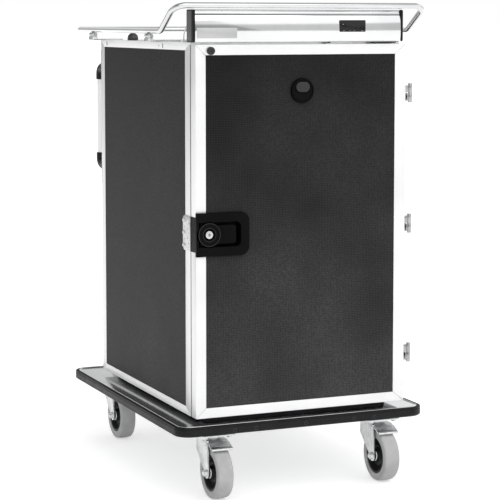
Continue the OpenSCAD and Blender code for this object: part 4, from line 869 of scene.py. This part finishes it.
vent = {"place": (-4, 0, 1235),
        "ring": [(32.3, 0), (38, 0), (38, 4.6), (37.3, 7.4), (35.9, 9.3), (34.2, 10), (33.0, 9.7),
                 (32.3, 8.8)],
        "seat": [(18, -19), (26, -19), (26, 0), (37, 0), (37, 1.5), (18, 1.5)],
        "core": [(0, -19), (18.5, -19), (18.5, -16), (6, -16), (6, 5), (0, 5)],
        "dish": [(6.1, 1.8), (32, 1.8), (32, 7.0), (31.4, 8.0), (30.0, 8.4), (28.4, 7.8), (25, 5.4),
                 (19, 4.6), (6.1, 4.5)],
        "pad": (45, 31, 15.4, 12), "padHigh": 4.2, "padAt": (0, -5.1, 11),
        "inlay": (34, 20, 9.9, 12), "inlayHigh": 0.9, "inlayAt": (0, -8.9, 11)}
ventPlace = spot(*vent["place"])
ventRing = [turned("vent_ring", vent["ring"], 96, closed=True),
            turned("vent_seat", vent["seat"], 72, closed=True), turned("vent_core", vent["core"], 48)]
for part in ventRing:
    putAt(part, ventPlace, toFront)
fitUp(smoothOver(joined("vent_ring", ventRing), 40), "door", "latchBlack", "black_plastic", "vent_bezel")
dish = putAt(turned("vent_dish", vent["dish"], 96, closed=True), ventPlace, toFront)
fitUp(smoothOver(dish, 40), "vent", "latchBlack", "black_plastic", "vent_dial")
pad = slab("vent_pad", vent["pad"], vent["padHigh"], soft=1.5, segments=3)
putAt(pad, ventPlace + Vector(vent["padAt"]) * mm, toFront)
fitUp(smoothOver(pad), "vent", "padGrey", "grey_plastic")
inlay = slab("vent_pad_inlay", vent["inlay"], vent["inlayHigh"], soft=0.3)
putAt(inlay, ventPlace + Vector(vent["inlayAt"]) * mm, toFront)
fitUp(smoothOver(inlay), "vent", "sealRubber", "grey_plastic")

stopPad = {"place": (-304, 0, 1357),
           "outline": [(0, 10.4), (3.2, 10.4), (3.8, 12.4), (6, 13), (9.4, 12.6), (11.2, 11), (12, 8.6),
                       (12, 1.4), (11.4, 0), (0, 0)]}
buffer = putAt(turned("buffer_pad", stopPad["outline"], 48), spot(*stopPad["place"]), toFront)
fitUp(smoothOver(buffer, 40), "door", "sealRubber", "bumper_rubber", "door_buffer")
print("vent and buffer done")


# Control housing, end caps, bare plate and display

# The steel face is bowed forward a little, so that it carries bands of light along its length
fascia = {"low": 1382.0, "high": 98.0, "faceY": 20.0, "rearY": 72.0, "halfW": 344.0, "bowR": 320.0,
          "bowAt": 34.0, "groove": (81.0, 83.4, 7.0), "brow": 90.0, "fold": 3.0, "steps": 16, "edge": 0.9}


def bowed(up):  # how far back the steel face lies at a height above its lower edge
    return fascia["faceY"] + (up - fascia["bowAt"]) ** 2 / (2 * fascia["bowR"])


grooveLow, grooveHigh, grooveDeep = fascia["groove"]
grooveY = fascia["faceY"] + grooveDeep
topFold = fascia["high"] - fascia["fold"]
steelEdge = [(bowed(grooveLow * step / fascia["steps"]), grooveLow * step / fascia["steps"])
             for step in range(fascia["steps"] + 1)]
steelEdge += [(grooveY, grooveLow), (grooveY, grooveHigh), (bowed(grooveHigh), grooveHigh),
              (bowed(fascia["brow"]), fascia["brow"]), (bowed(topFold), topFold),
              (bowed(topFold) + fascia["fold"], fascia["high"]), (fascia["rearY"], fascia["high"]),
              (fascia["rearY"], 0)]
housingFace = cutOut("control_fascia", steelEdge, 2 * fascia["halfW"])
putAt(housingFace, spot(-fascia["halfW"], 0, fascia["low"]), toSide)
fitUp(smoothOver(softEdges(housingFace, fascia["edge"], 2)), "root", "fasciaSteel", "polished_steel",
      "control_housing")

# A dark strip lies in the groove
joint = {"front": fascia["faceY"] + 4.8, "rear": grooveY + 0.5, "low": grooveLow - 0.2,
         "high": grooveHigh + 0.2, "short": 1.0}
jointStrip = cutOut("fascia_joint", [(joint["front"], joint["low"]), (joint["rear"], joint["low"]),
                                     (joint["rear"], joint["high"]), (joint["front"], joint["high"])],
                    2 * (fascia["halfW"] - joint["short"]))
putAt(jointStrip, spot(joint["short"] - fascia["halfW"], 0, fascia["low"]), toSide)
fitUp(jointStrip, "root", "latchBlack", "black_plastic")

dress("control_end_caps", "fascia_caps", "root", "mouldedBlack", "black_plastic", soft=1.4, segments=3)
endCaps = {"cover": (40, 88, 4), "thick": 1.0, "left": -353.0, "right": 352.0, "y": 49, "z": 1431}
covers = []
for side in ("left", "right"):
    cover = slab("cover", endCaps["cover"], endCaps["thick"], soft=0.4)
    covers.append(putAt(cover, spot(endCaps[side], endCaps["y"], endCaps["z"]), toSide))
fitUp(smoothOver(joined("cap_covers", covers)), "root", "capGrey", "grey_plastic")

# The bare plate leans with the bowed face
badge = {"x": -274, "z": 1409.5, "outline": (130, 31, 2.5), "thick": 0.8, "sunk": 0.3}
badgeUp = badge["z"] - fascia["low"]
lean = math.degrees(math.atan((fascia["bowAt"] - badgeUp) / fascia["bowR"]))
barePlate = slab("bare_plate", badge["outline"], badge["thick"], soft=0.3)
putAt(barePlate, spot(badge["x"], bowed(badgeUp) + badge["sunk"], badge["z"]), (90 + lean, 0, 0))
fitUp(smoothOver(barePlate), "root", "platePlain", "stainless")

# Marks are (across, down, wide, high) from the display's upper left corner; bars (across, up, level or not)
display = {"x": 176.5, "z": 1430.0, "wide": 89, "high": 36, "sealY": 3.0, "sealDeep": 3.0, "faceY": -1.0,
           "marks": ((14, 33, 5, 2.2), (36, 33, 3.4, 2.2), (50, 33, 3.4, 2.2), (77, 33, 6, 2.2),
                     (12, 13, 3, 3)), "markHigh": 0.25,
           "digits": (-13, 1, 18), "digitUp": 2, "digitWide": 9.0, "digitHigh": 17.0, "barWide": 1.5,
           "barHigh": 0.2, "levelGap": 2.2, "uprightGap": 1.6,
           "bars": ((0, 1, True), (0, 0, True), (0, -1, True), (-1, 0.5, False), (1, 0.5, False),
                    (-1, -0.5, False), (1, -0.5, False))}


def onDisplay(across, up, y):  # a place in mm from the display's middle and the steel face
    return spot(display["x"] + across, fascia["faceY"] + y, display["z"] + up)


seal = slab("display_seal", (display["wide"] - 1, display["high"] - 1, 2.5), display["sealDeep"], soft=0.3)
putAt(seal, onDisplay(0, 0, display["sealY"]), toFront)
fitUp(smoothOver(seal), "root", "sealRubber", "bumper_rubber")
dress("display_window", "display_pane", "root", "displayGloss", "display_plastic", soft=0.4)
marks = []
for across, down, wide, high in display["marks"]:
    mark = cutOut("mark", roundedOutline(wide, high, high * 0.45, 3), display["markHigh"])
    place = onDisplay(across - display["wide"] / 2, display["high"] / 2 - down, display["faceY"])
    marks.append(putAt(mark, place, toFront))
fitUp(joined("display_marks", marks), "root", "markGrey", "grey_plastic")
bars = []
for offset in display["digits"]:
    for across, up, isLevel in display["bars"]:
        half = (display["digitWide"] - display["levelGap"] if isLevel
                else display["digitHigh"] / 2 - display["uprightGap"]) / 2
        tip = display["barWide"] / 2
        bar = cutOut("bar", [(-half, 0), (-half + tip, tip), (half - tip, tip), (half, 0), (half - tip, -tip),
                             (-half + tip, -tip)], display["barHigh"])
        place = onDisplay(offset + across * display["digitWide"] / 2,
                          display["digitUp"] + up * display["digitHigh"] / 2, display["faceY"])
        bars.append(putAt(bar, place, toFront if isLevel else (90, 90, 0)))
fitUp(joined("display_digits", bars), "root", "unlitSegment", "grey_plastic")

# Black spacers hold the housing off the upper rail
spacerForm = {"places": ((98, 9), (288, 81)), "deep": 12, "round": 1.5, "high": 4.0, "y": 28, "z": 1378}
spacers = []
for x, wide in spacerForm["places"]:
    block = slab("spacer", (wide, spacerForm["deep"], spacerForm["round"]), spacerForm["high"], soft=0.6)
    spacers.append(putAt(block, spot(x, spacerForm["y"], spacerForm["z"])))
fitUp(smoothOver(joined("fascia_spacers", spacers)), "root", "mouldedBlack", "black_plastic")
print("control housing done")


# Guard rail, its brackets and the roof cap

rail = {"x": 417.5, "rear": 925.0, "slope": 115.0, "low": 1416.0, "high": 1492.0, "tube": 9.0, "bend": 38.0}
corners = [spot(-rail["x"], 0, rail["high"]), spot(rail["x"], 0, rail["high"]),
           spot(rail["x"], rail["slope"], rail["low"]), spot(rail["x"], rail["rear"], rail["low"]),
           spot(-rail["x"], rail["rear"], rail["low"]), spot(-rail["x"], rail["slope"], rail["low"])]
railPath = roundTurns(corners, rail["bend"] * mm, 14)
loop = bentTube("top_rail", railPath, rail["tube"], closed=True, sides=10)
fitUp(smoothOver(loop, 60), "root", "railSatin", "polished_steel", "guard_rail")
dress("roof_brackets", "rail_brackets", "root", "stainlessSatin", "stainless", soft=0.7, smooth=36)
reliefCap = {"place": (-334, 600, 1382),
             "outline": [(0, 24), (6, 23.4), (11, 21.2), (15, 17.6), (17.2, 12.5), (18, 7), (18, 4.6),
                         (17.0, 4.0), (17.0, 3.0), (18, 2.4), (18, 0), (0, 0)]}
cap = putAt(turned("relief_cap", reliefCap["outline"], 64), spot(*reliefCap["place"]))
fitUp(smoothOver(cap, 40), "root", "enamel", "black_plastic", "roof_cap")
print("roof done")


# Push handles

handle = {"tubeR": 15.0, "long": 252.0, "x": 332.0, "y": 929.0, "low": 994.0, "soft": 1.0}
tubeR, gripLong, soft = handle["tubeR"], handle["long"], handle["soft"]
grip = turned("grip", [(0, 0), (tubeR - soft, 0), (tubeR, soft), (tubeR, gripLong - soft),
                       (tubeR - soft, gripLong), (0, gripLong)], 64)
gripPlaces = [(spot(side * handle["x"], handle["y"], handle["low"]), (0, 0, 0)) for side in (-1, 1)]
grips = setOut(grip, "handle_tubes", gripPlaces)
fitUp(smoothOver(grips, 40), "root", "anodised", "aluminium_profile", "push_handle_grips")
dress("handle_mounts", "handle_elbows", "root", "mouldedBlack", "black_plastic", soft=1.4, segments=3,
      smooth=40)
print("handles done")


# Cooling unit on the back

# A field of louvres is (left, wide, lowest, rows)
unit = {"rear": 990.0, "fields": ((55.0, 190.0, 400.0, 16), (-230.0, 460.0, 700.0, 6)), "pitch": 14.0,
        "hood": [(-0.6, 6.4), (2.4, 5.4), (4.6, 3.2), (5.4, 0.2), (4.8, 0.2), (4.0, 2.8), (2.0, 4.6),
                 (-0.6, 5.4)],
        "screw": (4.0, 2.0), "screwX": (-278, 278), "screwLevels": (265, 450, 640, 815)}
dress("rear_unit_cover", "unit_case", "root", "stainlessSatin", "stainless", soft=0.5)
louvres = []
for left, wide, lowest, rows in unit["fields"]:
    hood = putAt(cutOut("lip", unit["hood"], wide), (0, 0, 0), toSide)
    hoodPlaces = [(spot(left, unit["rear"], lowest + row * unit["pitch"]), (0, 0, 0)) for row in range(rows)]
    louvres.append(setOut(hood, "lip", hoodPlaces))
fitUp(smoothOver(joined("unit_louvres", louvres), 50), "root", "stainlessSatin", "stainless")
unitPlaces = [(spot(x, unit["rear"], z), (-90, 0, 0)) for x in unit["screwX"] for z in unit["screwLevels"]]
fitUp(setOut(screwHead(*unit["screw"]), "unit_screws", unitPlaces), "root", "zincPlate", "zinc_steel")
dress("mains_inlet", "inlet_socket", "root", "mouldedBlack", "black_plastic", soft=0.8)
dress("compressor", "compressor_pot", "root", "enamel", "black_enamel", soft=1.0, smooth=40)
print("back done")


# Inside: the guard of the fan on the duct panel, the runners and the panel

fanGuard = {"y": 687.0, "level": 1141.0, "rings": (26.0, 46.0, 66.0, 86.0, 106.0), "wire": 1.5,
            "spokeFrom": 24.0, "spokeTo": 110.0, "foot": 3.0}
guardPlace = spot(0, fanGuard["y"], fanGuard["level"])
wires = [hoop(guardPlace, radius, fanGuard["wire"]) for radius in fanGuard["rings"]]
for turn in range(4):
    way = math.radians(45 + 90 * turn)
    inner, outer = (spot(reach * math.cos(way), fanGuard["y"] + fanGuard["wire"],
                         fanGuard["level"] + reach * math.sin(way))
                    for reach in (fanGuard["spokeFrom"], fanGuard["spokeTo"]))
    foot = outer + Vector((0, fanGuard["foot"] * mm, 0))
    wires.append(bentTube("spoke", [inner, outer, foot], fanGuard["wire"]))
fitUp(smoothOver(joined("fan_guard", wires), 50), "root", "polished", "polished_steel")
for nodeName, pieceName in (("tray_runners_left", "left_runners"), ("tray_runners_right", "right_runners"),
                            ("air_duct_panel", "duct_panel")):
    dress(nodeName, pieceName, "root", "stainlessSatin", "stainless", soft=0.4)
print("inside done")
